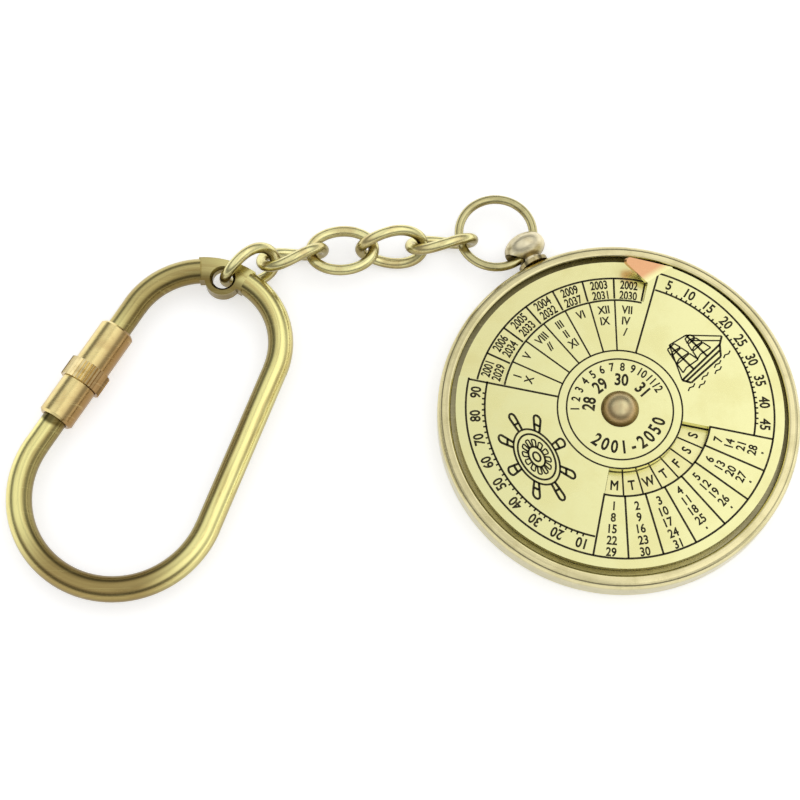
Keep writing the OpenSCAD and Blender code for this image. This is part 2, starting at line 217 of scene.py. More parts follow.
def new_object(name: str, data: bpy.types.ID) -> bpy.types.Object:
    """Adds an object to the scene, at the origin.

    Args:
        name: Its name.
        data: Its mesh, text or camera.

    Returns:
        The object.
    """
    made = bpy.data.objects.new(name, data)
    bpy.context.scene.collection.objects.link(made)
    return made


def plain_mesh(holder: bpy.types.Object) -> bpy.types.Mesh:
    """Turns an object, with its modifiers or as text, into a plain mesh."""
    shown = holder.evaluated_get(bpy.context.evaluated_depsgraph_get())
    return bpy.data.meshes.new_from_object(shown)


def taken_shape(mesh: bpy.types.Mesh) -> Shape:
    """Takes the points and faces out of a mesh and removes it.

    Args:
        mesh: The mesh.

    Returns:
        Its points and faces.
    """
    points = np.array([tuple(v.co) for v in mesh.vertices])
    faces = [tuple(face.vertices) for face in mesh.polygons]
    bpy.data.meshes.remove(mesh)
    return points, faces


def deliver(name: str, mesh: bpy.types.Mesh, body: str) -> bpy.types.Object:
    """Puts a finished mesh into the scene on a body.

    Args:
        name: Name of the piece.
        mesh: Its mesh, in metres, in place.
        body: Body that carries it.

    Returns:
        The piece.
    """
    piece = new_object(name, mesh)
    mesh.name = name
    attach(piece, body)
    LOG.info("%s rides on %s with %d faces", name, body, len(mesh.polygons))
    return piece


@dataclass(frozen=True)
class Loop:
    """Middle line of the shackle's rod, in millimetres.

    Attributes:
        narrow: Middle of the narrow bend.
        wide: Middle of the wide bend.
        narrow_bend: Radius of the narrow bend.
        wide_bend: Radius of the wide bend.
        crowding: How much closer marks lie across the rod.
        drawing: How much closer marks lie along it, below 1 for longer ones.
    """

    narrow: Point = (-52.117, 9.289)
    wide: Point = (-61.674, -10.304)
    narrow_bend: float = 10.0
    wide_bend: float = 12.0
    crowding: float = 7.0
    drawing: float = 0.5

    def inward(self, graph: Graph, place: Field) -> Field:
        """Measures how far a surface lies inside the middle line.

        Args:
            graph: The material's graph.
            place: Object coordinates.

        Returns:
            The depth in metres, below 0 outside the line.
        """
        start = Vector((*self.narrow, 0.0)) * MM
        run = Vector((*self.wide, 0.0)) * MM - start
        flat = graph.vector("MULTIPLY", place, (1.0, 1.0, 0.0))
        seen = graph.vector("SUBTRACT", flat, tuple(start))
        reach = graph.scalar("DOT_PRODUCT", seen, tuple(run / run.length_squared))
        share = graph.math("MAXIMUM", graph.math("MINIMUM", reach, 1.0), 0.0)
        away = graph.scalar("DISTANCE", seen, graph.vector("SCALE", tuple(run), share))
        return self.narrow_bend * MM + share * ((self.wide_bend - self.narrow_bend) * MM) - away

    def along(self, graph: Graph, place: Field) -> Field:
        """Measures a place along the length of the loop.

        Args:
            graph: The material's graph.
            place: Object coordinates.

        Returns:
            The distance in metres from the middle of the loop, towards the wide bend.
        """
        start, end = Vector((*self.narrow, 0.0)), Vector((*self.wide, 0.0))
        seen = graph.vector("SUBTRACT", place, tuple((start + end) * (MM / 2)))
        return graph.scalar("DOT_PRODUCT", seen, tuple((end - start).normalized()))

    def course(self, graph: Graph, place: Field) -> Field:
        """Makes coordinates in which marks run along the rod and round its bends.

        Args:
            graph: The material's graph.
            place: Object coordinates.

        Returns:
            Depth, height and length, crowded across the rod and drawn out along it.
        """
        _, _, height = graph.parts(place)
        return graph.out("ShaderNodeCombineXYZ", sockets={
            "X": self.inward(graph, place) * self.crowding,
            "Y": height * self.crowding,
            "Z": self.along(graph, place) * self.drawing})


class Measure(Enum):
    """What a zone or a grain is measured by."""

    RADIUS = "radius"
    HEIGHT = "height"
    ALONG_SLEEVE = "along_sleeve"
    INWARD = "inward"
    UPWARD = "upward"

    @property
    def unit(self) -> float:
        """Gives the unit of a zone's limits, a millimetre, or 1 for UPWARD."""
        return 1.0 if self is Measure.UPWARD else MM

    def read(self, graph: Graph, place: Field) -> Field:
        """Measures a surface.

        Args:
            graph: The material's graph.
            place: Object coordinates, for RADIUS with the middle taken away.

        Returns:
            The measure in metres, or from -1 to 1 for UPWARD.
        """
        if self is Measure.UPWARD:
            return graph.out("ShaderNodeAttribute", {"attribute_name": self.value}, output="Fac")
        if self is Measure.INWARD:
            return Loop().inward(graph, place)
        if self is Measure.ALONG_SLEEVE:
            return graph.scalar("DOT_PRODUCT", place, tuple(joint("sleeve_slide")["axis"]))
        x, y, z = graph.parts(place)
        if self is Measure.HEIGHT:
            return z
        return graph.math("SQRT", x * x + y * y)


@dataclass(frozen=True)
class Zone:
    """A tint that comes in over part of a surface, either the metal's own tone or painted shade, lengths in
    millimetres.

    Attributes:
        measure: What is measured.
        start: Where the tint begins.
        end: Where it is full.
        colour: The tint.
        share: How much of it shows where it is full.
        bearing: Direction in degrees from the middle towards which it is heavier, or None for all round;
            this one-sided tint is painted shade.
        middle: Where a radius is measured from.
        far_share: How much of a one-sided tint is left on the far side.
        far_edge: Distance along the bearing up to which only that is left.
        near_edge: Distance along the bearing from which it is full.
    """

    measure: Measure
    start: float
    end: float
    colour: Colour
    share: float = 1.0
    bearing: Optional[float] = None
    middle: Point = (0.0, 0.0)
    far_share: float = 0.3
    far_edge: float = -14.0
    near_edge: float = -2.0

    def mask(self, graph: Graph, place: Field) -> Field:
        """Makes the mask of the tint.

        Args:
            graph: The material's graph.
            place: Object coordinates.

        Returns:
            A mask from 0 to 1.
        """
        seen = place
        if self.measure is Measure.RADIUS:
            seen = graph.vector("SUBTRACT", place, (self.middle[0] * MM, self.middle[1] * MM, 0.0))
        unit = self.measure.unit
        mask = graph.step(self.measure.read(graph, seen), self.start * unit, self.end * unit)
        if self.bearing is None:
            return mask
        # A bearing makes the tint heavier on one side, as painted shade that falls there.
        side = graph.scalar("DOT_PRODUCT", place, (*polar(1.0, self.bearing), 0.0))
        near = graph.step(side, self.far_edge * MM, self.near_edge * MM)
        return mask * (self.far_share + (1.0 - self.far_share) * near)


class Grain(Enum):
    """Marks that working the metal left on it, by their size in millimetres and their noise's detail."""

    POLISHED = (0.35, 3.0)
    TURNED = (0.12, 2.0)
    DRAWN = (0.5, 4.0)
    STREAKED = (1.2, 3.0)
    HAMMERED = (1.1, 1.5)


@dataclass(frozen=True)
class Wear:
    """How wear shows on every brass finish.

    Edges are the levels of a noise between which its mask comes in.

    Attributes:
        scratch_gain: Brightness of a scratch against the clean metal.
        scratch_tint: Share of that brightness in a full scratch.
        patina_rough: Roughness that full blotches add.
        scratch_rough: Roughness that full scratches add.
        grain_rough: Roughness that the grain adds.
        grain_height: Height of the grain against the depth of a scratch.
        relief_depth: Depth of the relief in millimetres.
        blotch_noise: Detail and roughness of the blotches' noise.
        blotch_edges: Edges of the blotches.
        speck_noise: Detail and roughness of the specks' noise.
        speck_edges: Edges of the specks.
        specks_across: Number of specks across a blotch.
        speck_share: Strength of a speck against a blotch.
        scratches: Turn in radians, length and width in millimetres of each set of scratches.
        scratch_tilt: Turns in radians of all the sets about the first two axes.
        scratch_depth: How far a scratch reaches upwards, in millimetres.
        scratch_edges: Edges of the scratches.
        turning_edges: Edges of the turning marks.
        grain_noise: Roughness of the grain's noise.
    """

    scratch_gain: float = 1.12
    scratch_tint: float = 0.35
    patina_rough: float = 0.1
    scratch_rough: float = 0.12
    grain_rough: float = 0.04
    grain_height: float = 0.6
    relief_depth: float = 0.02
    blotch_noise: Span = (5.0, 0.62)
    blotch_edges: Span = (0.42, 0.68)
    speck_noise: Span = (3.0, 0.7)
    speck_edges: Span = (0.6, 0.74)
    specks_across: float = 7.0
    speck_share: float = 0.5
    scratches: tuple[tuple[float, float, float], ...] = (
        (0.5, 9.0, 0.22), (1.9, 6.0, 0.16), (2.7, 13.0, 0.3))
    scratch_tilt: Span = (0.3, 0.2)
    scratch_depth: float = 4.0
    scratch_edges: Span = (0.66, 0.74)
    turning_edges: Span = (0.35, 0.65)
    grain_noise: float = 0.55


WEAR = Wear()


@dataclass(frozen=True)
class BrassFinish:
    """One finish of the brass.

    Attributes:
        name: Name of the material.
        metal: Colour of the clean metal.
        tarnish: Colour of the toned metal.
        roughness: Roughness of the clean metal.
        grain: Marks of working.
        patina: Share of the toned colour in the blotches.
        blotch: Size of the blotches in millimetres.
        scratch: Strength of the scratches.
        relief: Strength of the bumps.
        zones: Tints over parts of the surface, most of them painted shade on lower, inner or recessed
            parts.
    """

    name: str
    metal: Colour
    tarnish: Colour
    roughness: float
    grain: Grain
    patina: float = 0.5
    blotch: float = 4.0
    scratch: float = 0.5
    relief: float = 0.2
    zones: tuple[Zone, ...] = ()

    def material(self) -> bpy.types.Material:
        """Builds the material.

        Returns:
            A metallic material with blotches, scratches, grain and zones.
        """
        made, graph = new_material(self.name)
        place = graph.out("ShaderNodeTexCoord", output="Object")
        course = Loop().course(graph, place) if self.grain is Grain.STREAKED else place
        patina = self._blotches(graph, course)
        scratches = self._scratches(graph, place)
        grain = self._grain(graph, course)
        colour = graph.blend(patina * self.patina, rgba(self.metal), rgba(self.tarnish))
        # Zones: mostly painted shade, a few real tones such as stains and the copper tab.
        for zone in self.zones:
            colour = graph.blend(zone.mask(graph, place) * zone.share, colour, rgba(zone.colour))
        bright = tuple(min(1.0, WEAR.scratch_gain * part) for part in self.metal)
        colour = graph.blend(scratches * (WEAR.scratch_tint * self.scratch), colour, rgba(bright))
        toned_rough = WEAR.patina_rough * self.patina * patina
        scratched_rough = WEAR.scratch_rough * self.scratch * scratches
        rough = self.roughness + toned_rough + scratched_rough + WEAR.grain_rough * grain
        height = grain * WEAR.grain_height - scratches * self.scratch
        bump = graph.out("ShaderNodeBump", sockets={
            "Strength": self.relief, "Distance": WEAR.relief_depth * MM, "Height": height})
        shader = graph.out("ShaderNodeBsdfPrincipled", sockets={
            "Base Color": colour, "Metallic": 1.0, "Roughness": rough, "Normal": bump})
        graph.node("ShaderNodeOutputMaterial", sockets={"Surface": shader})
        return made

    def _blotches(self, graph: Graph, place: Field) -> Field:
        """Makes the toned blotches.

        Args:
            graph: The material's graph.
            place: Object coordinates, or those along the rod.

        Returns:
            A mask from 0 to 1.
        """
        broad = graph.noise(place, self.blotch, *WEAR.blotch_noise)
        fine = graph.noise(place, self.blotch / WEAR.specks_across, *WEAR.speck_noise)
        specks = WEAR.speck_share * graph.step(fine, *WEAR.speck_edges)
        return graph.math("MINIMUM", graph.step(broad, *WEAR.blotch_edges) + specks, 1.0)

    def _scratches(self, graph: Graph, place: Field) -> Field:
        """Makes the sets of fine scratches.

        Args:
            graph: The material's graph.
            place: Object coordinates.

        Returns:
            A mask from 0 to 1.
        """
        mask: Optional[Field] = None
        for angle, length, width in WEAR.scratches:
            turned = graph.out("ShaderNodeMapping", sockets={
                "Vector": place,
                "Rotation": (*WEAR.scratch_tilt, angle),
                "Scale": tuple(1 / (size * MM) for size in (length, width, WEAR.scratch_depth))})
            noise = graph.out("ShaderNodeTexNoise", sockets={"Vector": turned, "Scale": 1.0, "Detail": 1.0})
            line = graph.step(noise, *WEAR.scratch_edges)
            mask = line if mask is None else graph.math("MAXIMUM", mask, line)
        return mask

    def _grain(self, graph: Graph, place: Field) -> Field:
        """Makes the marks of working.

        Args:
            graph: The material's graph.
            place: Object coordinates, or those along the rod.

        Returns:
            A height from 0 to 1.
        """
        size, detail = self.grain.value
        if self.grain is Grain.TURNED:
            along = Measure.ALONG_SLEEVE.read(graph, place)
            fine = graph.out("ShaderNodeTexNoise", {"noise_dimensions": "1D"}, {
                "W": along, "Scale": 1 / (size * MM), "Detail": detail})
            return graph.step(fine, *WEAR.turning_edges)
        return graph.noise(place, size, detail, WEAR.grain_noise)


@dataclass(frozen=True)
class InkFinish:
    """The dark filling of the etched marks.

    Attributes:
        name: Name of the material.
        dark: Colour where the filling is whole.
        thin: Colour where it has worn thin.
        roughness: Roughness where it is whole.
        polish: How much smoother it is where worn.
        sheen: Strength of its reflection.
        patch: Size of the worn patches in millimetres.
        patch_noise: Detail and roughness of their noise.
        patch_edges: Levels of that noise between which wear comes in.
    """

    name: str = "etched_ink"
    dark: Colour = (0.024, 0.019, 0.006)
    thin: Colour = (0.11, 0.088, 0.03)
    roughness: float = 0.62
    polish: float = 0.15
    sheen: float = 0.25
    patch: float = 0.7
    patch_noise: Span = (4.0, 0.65)
    patch_edges: Span = (0.5, 0.72)

    def material(self) -> bpy.types.Material:
        """Builds the material.

        Returns:
            A dull dark material that is worn unevenly.
        """
        made, graph = new_material(self.name)
        place = graph.out("ShaderNodeTexCoord", output="Object")
        worn = graph.step(graph.noise(place, self.patch, *self.patch_noise), *self.patch_edges)
        shader = graph.out("ShaderNodeBsdfPrincipled", sockets={
            "Base Color": graph.blend(worn, rgba(self.dark), rgba(self.thin)),
            "Roughness": self.roughness - self.polish * worn,
            "Metallic": 0.0,
            "Specular IOR Level": self.sheen})
        graph.node("ShaderNodeOutputMaterial", sockets={"Surface": shader})
        return made


class Recipe:
    """A geometry tree with named inputs, turned into plain meshes."""

    def __init__(self, name: str, inputs: dict[str, str]) -> None:
        """Makes the tree and its inputs.

        Args:
            name: Name of the tree.
            inputs: Kind of socket for each input's name.
        """
        tree = bpy.data.node_groups.new(name, "GeometryNodeTree")
        self.graph = Graph(tree)
        self.names: dict[str, str] = {}
        for title, kind in inputs.items():
            socket = tree.interface.new_socket(name=title, in_out="INPUT", socket_type="NodeSocket" + kind)
            self.names[title] = socket.identifier
        tree.interface.new_socket(name="Geometry", in_out="OUTPUT", socket_type="NodeSocketGeometry")
        self.entry = self.graph.node("NodeGroupInput")

    def input(self, name: str) -> Field:
        """Gives one of the named inputs."""
        return Field(self.graph, self.entry.outputs[name])

    def end(self, geometry: Field) -> None:
        """Closes the tree with Realize Instances and Set Material.

        Args:
            geometry: What the tree has made.
        """
        real = self.graph.out("GeometryNodeRealizeInstances", sockets={"Geometry": geometry})
        dressed = self.graph.out("GeometryNodeSetMaterial", sockets={
            "Geometry": real, "Material": self.input("Material")})
        self.graph.node("NodeGroupOutput", sockets={0: dressed})

    def mesh(self, start: bpy.types.Mesh, values: dict[str, object]) -> bpy.types.Mesh:
        """Runs the tree on a mesh.

        Args:
            start: The mesh that the tree starts from.
            values: A value for each named input.

        Returns:
            The result as a plain mesh.
        """
        holder = new_object("holder", start)
        modifier = holder.modifiers.new("recipe", "NODES")
        modifier.node_group = self.graph.tree
        for name, value in values.items():
            modifier[self.names[name]] = value
        made = plain_mesh(holder)
        holder.modifiers.remove(modifier)
        bpy.data.objects.remove(holder)
        bpy.data.meshes.remove(start)
        return made


def stroke_recipe() -> Recipe:
    """Makes the tree that repeats lines round a middle and sweeps them as flat strokes.

    Returns:
        The tree, whose sizes are in millimetres.
    """
    recipe = Recipe("ink_strokes", {
        "Geometry": "Geometry", "Count": "Int", "First": "Float", "Step": "Float", "Across": "Vector",
        "Up": "Vector", "Middle": "Vector", "Width": "Float", "Height": "Float", "Material": "Material"})
    graph = recipe.graph
    posts = graph.out("GeometryNodeMeshLine", sockets={
        "Count": recipe.input("Count"), "Offset": (0.0, 0.0, 0.0)})
    angle = recipe.input("First") + graph.out("GeometryNodeInputIndex") * recipe.input("Step")
    spin = graph.out("ShaderNodeCombineXYZ", sockets={"Z": angle})
    copies = graph.out("GeometryNodeInstanceOnPoints", sockets={
        "Points": posts, "Instance": recipe.input("Geometry"), "Rotation": spin})
    lines = graph.out("GeometryNodeRealizeInstances", sockets={"Geometry": copies})
    x, y, _ = graph.parts(graph.out("GeometryNodeInputPosition"))
    across = graph.vector("SCALE", recipe.input("Across"), x)
    upward = graph.vector("SCALE", recipe.input("Up"), y)
    place = graph.vector("ADD", graph.vector("ADD", across, upward), recipe.input("Middle"))
    laid = graph.out("GeometryNodeSetPosition", sockets={"Geometry": lines, "Position": place})
    curves = graph.out("GeometryNodeMeshToCurve", sockets={"Mesh": laid})
    level = graph.out("GeometryNodeSetCurveNormal", {"mode": "Z_UP"}, {"Curve": curves})
    bar = graph.out("GeometryNodeCurvePrimitiveQuadrilateral", {"mode": "RECTANGLE"}, {
        "Width": recipe.input("Width"), "Height": recipe.input("Height")})
    recipe.end(graph.out("GeometryNodeCurveToMesh", sockets={
        "Curve": level, "Profile Curve": bar, "Fill Caps": True}))
    return recipe


def link_recipe(loop_points: int = 128, wire_points: int = 24) -> Recipe:
    """Makes the tree that sweeps a wire along a twisted oval loop.

    Args:
        loop_points: Points along the loop.
        wire_points: Points round the wire.

    Returns:
        The tree, whose sizes are in millimetres and whose twists are in radians.
    """
    recipe = Recipe("wire_link", {
        "Geometry": "Geometry", "Half Length": "Float", "Half Width": "Float", "Left Twist": "Float",
        "Right Twist": "Float", "Wire Radius": "Float", "Material": "Material"})
    graph = recipe.graph
    loop = graph.out("GeometryNodeCurvePrimitiveCircle", {"mode": "RADIUS"}, {
        "Resolution": loop_points, "Radius": 1.0})
    x, y, _ = graph.parts(graph.out("GeometryNodeInputPosition"))
    left, right = recipe.input("Left Twist"), recipe.input("Right Twist")
    twist = (left + right) * 0.5 + (right - left) * 0.5 * x
    side = recipe.input("Half Width") * y
    place = graph.out("ShaderNodeCombineXYZ", sockets={
        "X": recipe.input("Half Length") * x,
        "Y": side * graph.math("COSINE", twist),
        "Z": side * graph.math("SINE", twist)})
    bent = graph.out("GeometryNodeSetPosition", sockets={"Geometry": loop, "Position": place})
    wire = graph.out("GeometryNodeCurvePrimitiveCircle", {"mode": "RADIUS"}, {
        "Resolution": wire_points, "Radius": recipe.input("Wire Radius")})
    swept = graph.out("GeometryNodeCurveToMesh", sockets={"Curve": bent, "Profile Curve": wire})
    # The upward part of the normal is stored so the wire's material can paint shade on its sides and
    # underside.
    _, _, upward = graph.parts(graph.out("GeometryNodeInputNormal"))
    marked = graph.out("GeometryNodeStoreNamedAttribute", {"data_type": "FLOAT", "domain": "POINT"}, {
        "Geometry": swept, "Name": Measure.UPWARD.value, "Value": upward})
    recipe.end(graph.out("GeometryNodeSetShadeSmooth", sockets={"Geometry": marked}))
    return recipe


def arc(radius: float, start: float, end: float, step: float = 2.0) -> list[Point]:
    """Gives points of an arc about the middle, at most a step apart, with the angles in degrees."""
    count = max(1, math.ceil(abs(end - start) / step))
    return [polar(radius, start + (end - start) * k / count) for k in range(count + 1)]


def circle(radius: float, step: float = 2.0) -> list[Point]:
    """Gives points of a whole circle, a step in degrees apart, for a closed line."""
    return arc(radius, 0.0, 360.0 - step, step)


class Facing(Enum):
    """Which way the heads of the figures point, as a turn in degrees from the angle."""

    OUTWARD = -90.0
    INWARD = 90.0


@dataclass(frozen=True)
class Figures:
    """How one group of figures is set, in millimetres.

    Attributes:
        radius: Distance of the first row's middle from the pivot.
        height: Height of the figures.
        facing: Which way their heads point.
        squeeze: Width of the figures against the font's.
        row_step: Distance from one row to the next, below 0 inwards.
    """

    radius: float
    height: float
    facing: Facing = Facing.OUTWARD
    squeeze: float = 0.82
    row_step: float = 0.0


@dataclass(frozen=True)
class Label:
    """One figure or word of the print.

    Attributes:
        text: What it says.
        angle: Direction of its middle in degrees.
        figures: How it is set.
        row: Number of its row, from 0.
        slant: Lean of the figures.
    """

    text: str
    angle: float
    figures: Figures
    row: int = 0
    slant: float = 0.0


class Lettering:
    """Flat figures from the built-in font, kept by text."""

    def __init__(self, weight: float, curve_steps: int = 3) -> None:
        """Starts an empty store.

        Args:
            weight: How far the outlines are fattened, in the font's own unit.
            curve_steps: Steps in each curved part of an outline.
        """
        self.weight = weight
        self.curve_steps = curve_steps
        self.store: dict[str, Shape] = {}
        figure, _ = self.outline("0")
        self.low, self.high = figure[:, 1].min(), figure[:, 1].max()

    def outline(self, text: str) -> Shape:
        """Makes one text in the font's own size.

        Args:
            text: What it says.

        Returns:
            Its points and faces.
        """
        curve = bpy.data.curves.new("figures", "FONT")
        curve.body = text
        curve.resolution_u = self.curve_steps
        curve.bevel_depth = self.weight
        curve.bevel_resolution = 0
        holder = new_object("figures", curve)
        shape = taken_shape(plain_mesh(holder))
        bpy.data.objects.remove(holder)
        bpy.data.curves.remove(curve)
        return shape

    def shape(self, text: str) -> Shape:
        """Makes one text with figures of height 1, thickness 1 and its middle at the origin.

        Args:
            text: What it says.

        Returns:
            Its points and faces.
        """
        if text not in self.store:
            points, faces = self.outline(text)
            points[:, 0] -= (points[:, 0].min() + points[:, 0].max()) / 2
            points[:, 1] -= (self.low + self.high) / 2
            points[:, :2] /= self.high - self.low
            points[:, 2] /= 2 * self.weight
            self.store[text] = (points, faces)
        return self.store[text]

    def placed(self, label: Label, level: float, thickness: float) -> Shape:
        """Lays one label on a dial.

        Args:
            label: The label.
            level: Height of its middle in millimetres.
            thickness: Thickness of the ink in millimetres.

        Returns:
            Its points and faces in millimetres.
        """
        points, faces = self.shape(label.text)
        figures = label.figures
        x = (points[:, 0] * figures.squeeze + points[:, 1] * label.slant) * figures.height
        y = points[:, 1] * figures.height
        turn = math.radians(label.angle + figures.facing.value)
        middle = polar(figures.radius + figures.row_step * label.row, label.angle)
        laid = np.c_[
            x * math.cos(turn) - y * math.sin(turn) + middle[0],
            x * math.sin(turn) + y * math.cos(turn) + middle[1],
            points[:, 2] * thickness + level]
        return laid, faces


@dataclass(frozen=True)
class Pattern:
    """Where a pattern lies on a dial, in millimetres.

    Attributes:
        across: Its first axis.
        upward: Its second axis.
        middle: Its middle.
    """

    across: Point = (1.0, 0.0)
    upward: Point = (0.0, 1.0)
    middle: Point = (0.0, 0.0)


@dataclass
class Printer:
    """Gathers the strokes and figures of one printed piece and lays them on a dial, in millimetres.

    Attributes:
        level: Height of the dial's face.
        body: Body that carries the print.
        ink: Material of the print.
        strokes: The stroke tree.
        lettering: The store of figures.
        sink: Depth of the ink below the face.
        rise: Height of the ink above the face.
        shapes: What has been gathered.
    """

    level: float
    body: str
    ink: bpy.types.Material
    strokes: Recipe
    lettering: Lettering
    sink: float = 0.012
    rise: float = 0.012
    shapes: list[Shape] = field(default_factory=list)

    @property
    def middle(self) -> float:
        """Gives the height of the ink's middle."""
        return self.level + (self.rise - self.sink) / 2

    def lines(
        self,
        paths: Sequence[Line],
        width: float,
        count: int = 1,
        first: float = 0.0,
        step: float = 0.0,
        pattern: Pattern = Pattern(),
        closed: bool = False,
    ) -> None:
        """Adds strokes, repeated round the pattern's own middle.

        Args:
            paths: Lines in the pattern's own frame.
            width: Width of the strokes.
            count: Number of copies.
            first: Turn of the first copy in degrees.
            step: Turn between two copies in degrees.
            pattern: The pattern's place on the dial.
            closed: Whether each line ends where it starts.
        """
        points: list[tuple[float, float, float]] = []
        edges: list[tuple[int, int]] = []
        for path in paths:
            start = len(points)
            points += [(x, y, 0.0) for x, y in path]
            edges += [(start + k, start + k + 1) for k in range(len(path) - 1)]
            if closed:
                edges.append((len(points) - 1, start))
        mesh = bpy.data.meshes.new("lines")
        mesh.from_pydata(points, edges, [])
        made = self.strokes.mesh(mesh, {
            "Count": count, "First": math.radians(first), "Step": math.radians(step),
            "Across": (*pattern.across, 0.0), "Up": (*pattern.upward, 0.0),
            "Middle": (*pattern.middle, self.middle),
            "Width": float(width), "Height": self.rise + self.sink, "Material": self.ink})
        self.shapes.append(taken_shape(made))

    def label(self, label: Label) -> None:
        """Adds one label."""
        self.shapes.append(self.lettering.placed(label, self.middle, self.rise + self.sink))

    def row(self, texts: Sequence[str], ends: Span, figures: Figures) -> None:
        """Adds texts spread evenly along an arc.

        Args:
            texts: What they say.
            ends: Angles of the first and the last in degrees.
            figures: How they are set.
        """
        start, end = ends
        for k, text in enumerate(texts):
            self.label(Label(text, start + (end - start) * k / (len(texts) - 1), figures))

    def finish(self, name: str) -> None:
        """Joins what was gathered into one piece.

        Args:
            name: Name of the piece.
        """
        points: list[np.ndarray] = []
        faces: list[tuple[int, ...]] = []
        count = 0
        for shape_points, shape_faces in self.shapes:
            points.append(shape_points)
            faces += [tuple(count + k for k in face) for face in shape_faces]
            count += len(shape_points)
        self.shapes = []
        mesh = bpy.data.meshes.new(name)
        mesh.from_pydata((np.concatenate(points) * MM).tolist(), [], faces)
        mesh.materials.append(self.ink)
        deliver(name, mesh, self.body)


@dataclass(frozen=True)
class Wheel:
    """A ship's wheel, drawn with a radius of about 1. Strokes are in millimetres on the dial.

    Attributes:
        pattern: Its place on the dial.
        rings: Radii of its rings, the rim's outer one first.
        handles: Number of its handles.
        half: Half the width of a handle.
        root_share: Share of that width at the rim.
        shoulder: Radius at which a handle has its full width.
        collar: Radius of the line across a handle.
        knob: Radius at which a handle's round end begins.
        knob_length: Length of the round end.
        knob_swell: How much wider the round end is to each side.
        petals: Number of petals round the hub.
        petal: Outline of one petal.
        ring_stroke: Width of the rings' lines.
        handle_stroke: Width of the handles' lines.
        petal_stroke: Width of the petals' lines.
    """

    pattern: Pattern = Pattern((3.37, 1.98), (-3.13, 5.48), (-10.4, -6.2))
    rings: tuple[float, ...] = (0.61, 0.5, 0.22, 0.1)
    handles: int = 8
    half: float = 0.075
    root_share: float = 0.8
    shoulder: float = 0.74
    collar: float = 0.77
    knob: float = 0.92
    knob_length: float = 0.085
    knob_swell: float = 0.015
    petals: int = 12
    petal: tuple[Point, ...] = (
        (0.22, -0.04), (0.36, -0.055), (0.385, -0.03), (0.385, 0.03), (0.36, 0.055), (0.22, 0.04))
    ring_stroke: float = 0.25
    handle_stroke: float = 0.29
    petal_stroke: float = 0.21

    def draw(self, top: Printer) -> None:
        """Prints the wheel.

        Args:
            top: Printer of the turning dial.
        """
        top.lines([circle(radius, 5.0) for radius in self.rings], self.ring_stroke,
                  pattern=self.pattern, closed=True)
        rim, half = self.rings[0], self.half
        root = half * self.root_share
        end: list[Point] = []
        for angle in range(-90, 91, 30):
            x, y = polar(1.0, angle)
            end.append((self.knob + self.knob_length * x, (half + self.knob_swell) * y))
        handle = [(rim, -root), (self.shoulder, -half), *end, (self.shoulder, half), (rim, root)]
        collar = [(self.collar, -half), (self.collar, half)]
        top.lines([handle, collar], self.handle_stroke, self.handles, 0.0, 360.0 / self.handles,
                  self.pattern)
        top.lines([self.petal], self.petal_stroke, self.petals, 0.0, 360.0 / self.petals, self.pattern)
        top.finish("wheel_ornament_print")


@dataclass(frozen=True)
class Mast:
    """One mast of the boat with its sails, in the boat's own unit.

    Attributes:
        place: Where it stands along the boat.
        foot: Height of its foot.
        head: Height of its head.
        yards: Heights at which the sails part, from the lowest.
        spread: Half the width of the lowest sail's foot.
        taper: How much narrower each sail is than the one below, to each side.
        gap: Height between two sails.
        belly: How far a sail's foot curves up.
        belly_place: Where it does so, as a share of its half width.
    """

    place: float
    foot: float
    head: float
    yards: tuple[float, ...]
    spread: float
    taper: float = 0.28
    gap: float = 0.12
    belly: float = 0.25
    belly_place: float = 0.4

    @property
    def top(self) -> Point:
        """Gives the mast's head."""
        return (self.place, self.head)

    def sails(self) -> list[Line]:
        """Draws the sails.

        Returns:
            The lines of their edges.
        """
        lines: list[Line] = []
        for k in range(len(self.yards) - 1):
            low, high = self.spread - self.taper * k, self.spread - self.taper * (k + 1)
            base, head = self.yards[k] + self.gap, self.yards[k + 1]
            left, right = (self.place - low, base), (self.place + low, base)
            upper_left, upper_right = (self.place - high, head), (self.place + high, head)
            curved = (self.place - low * self.belly_place, base + self.belly)
            lines += [
                [left, curved, right], [upper_left, upper_right], [left, upper_left], [right, upper_right]]
        return lines


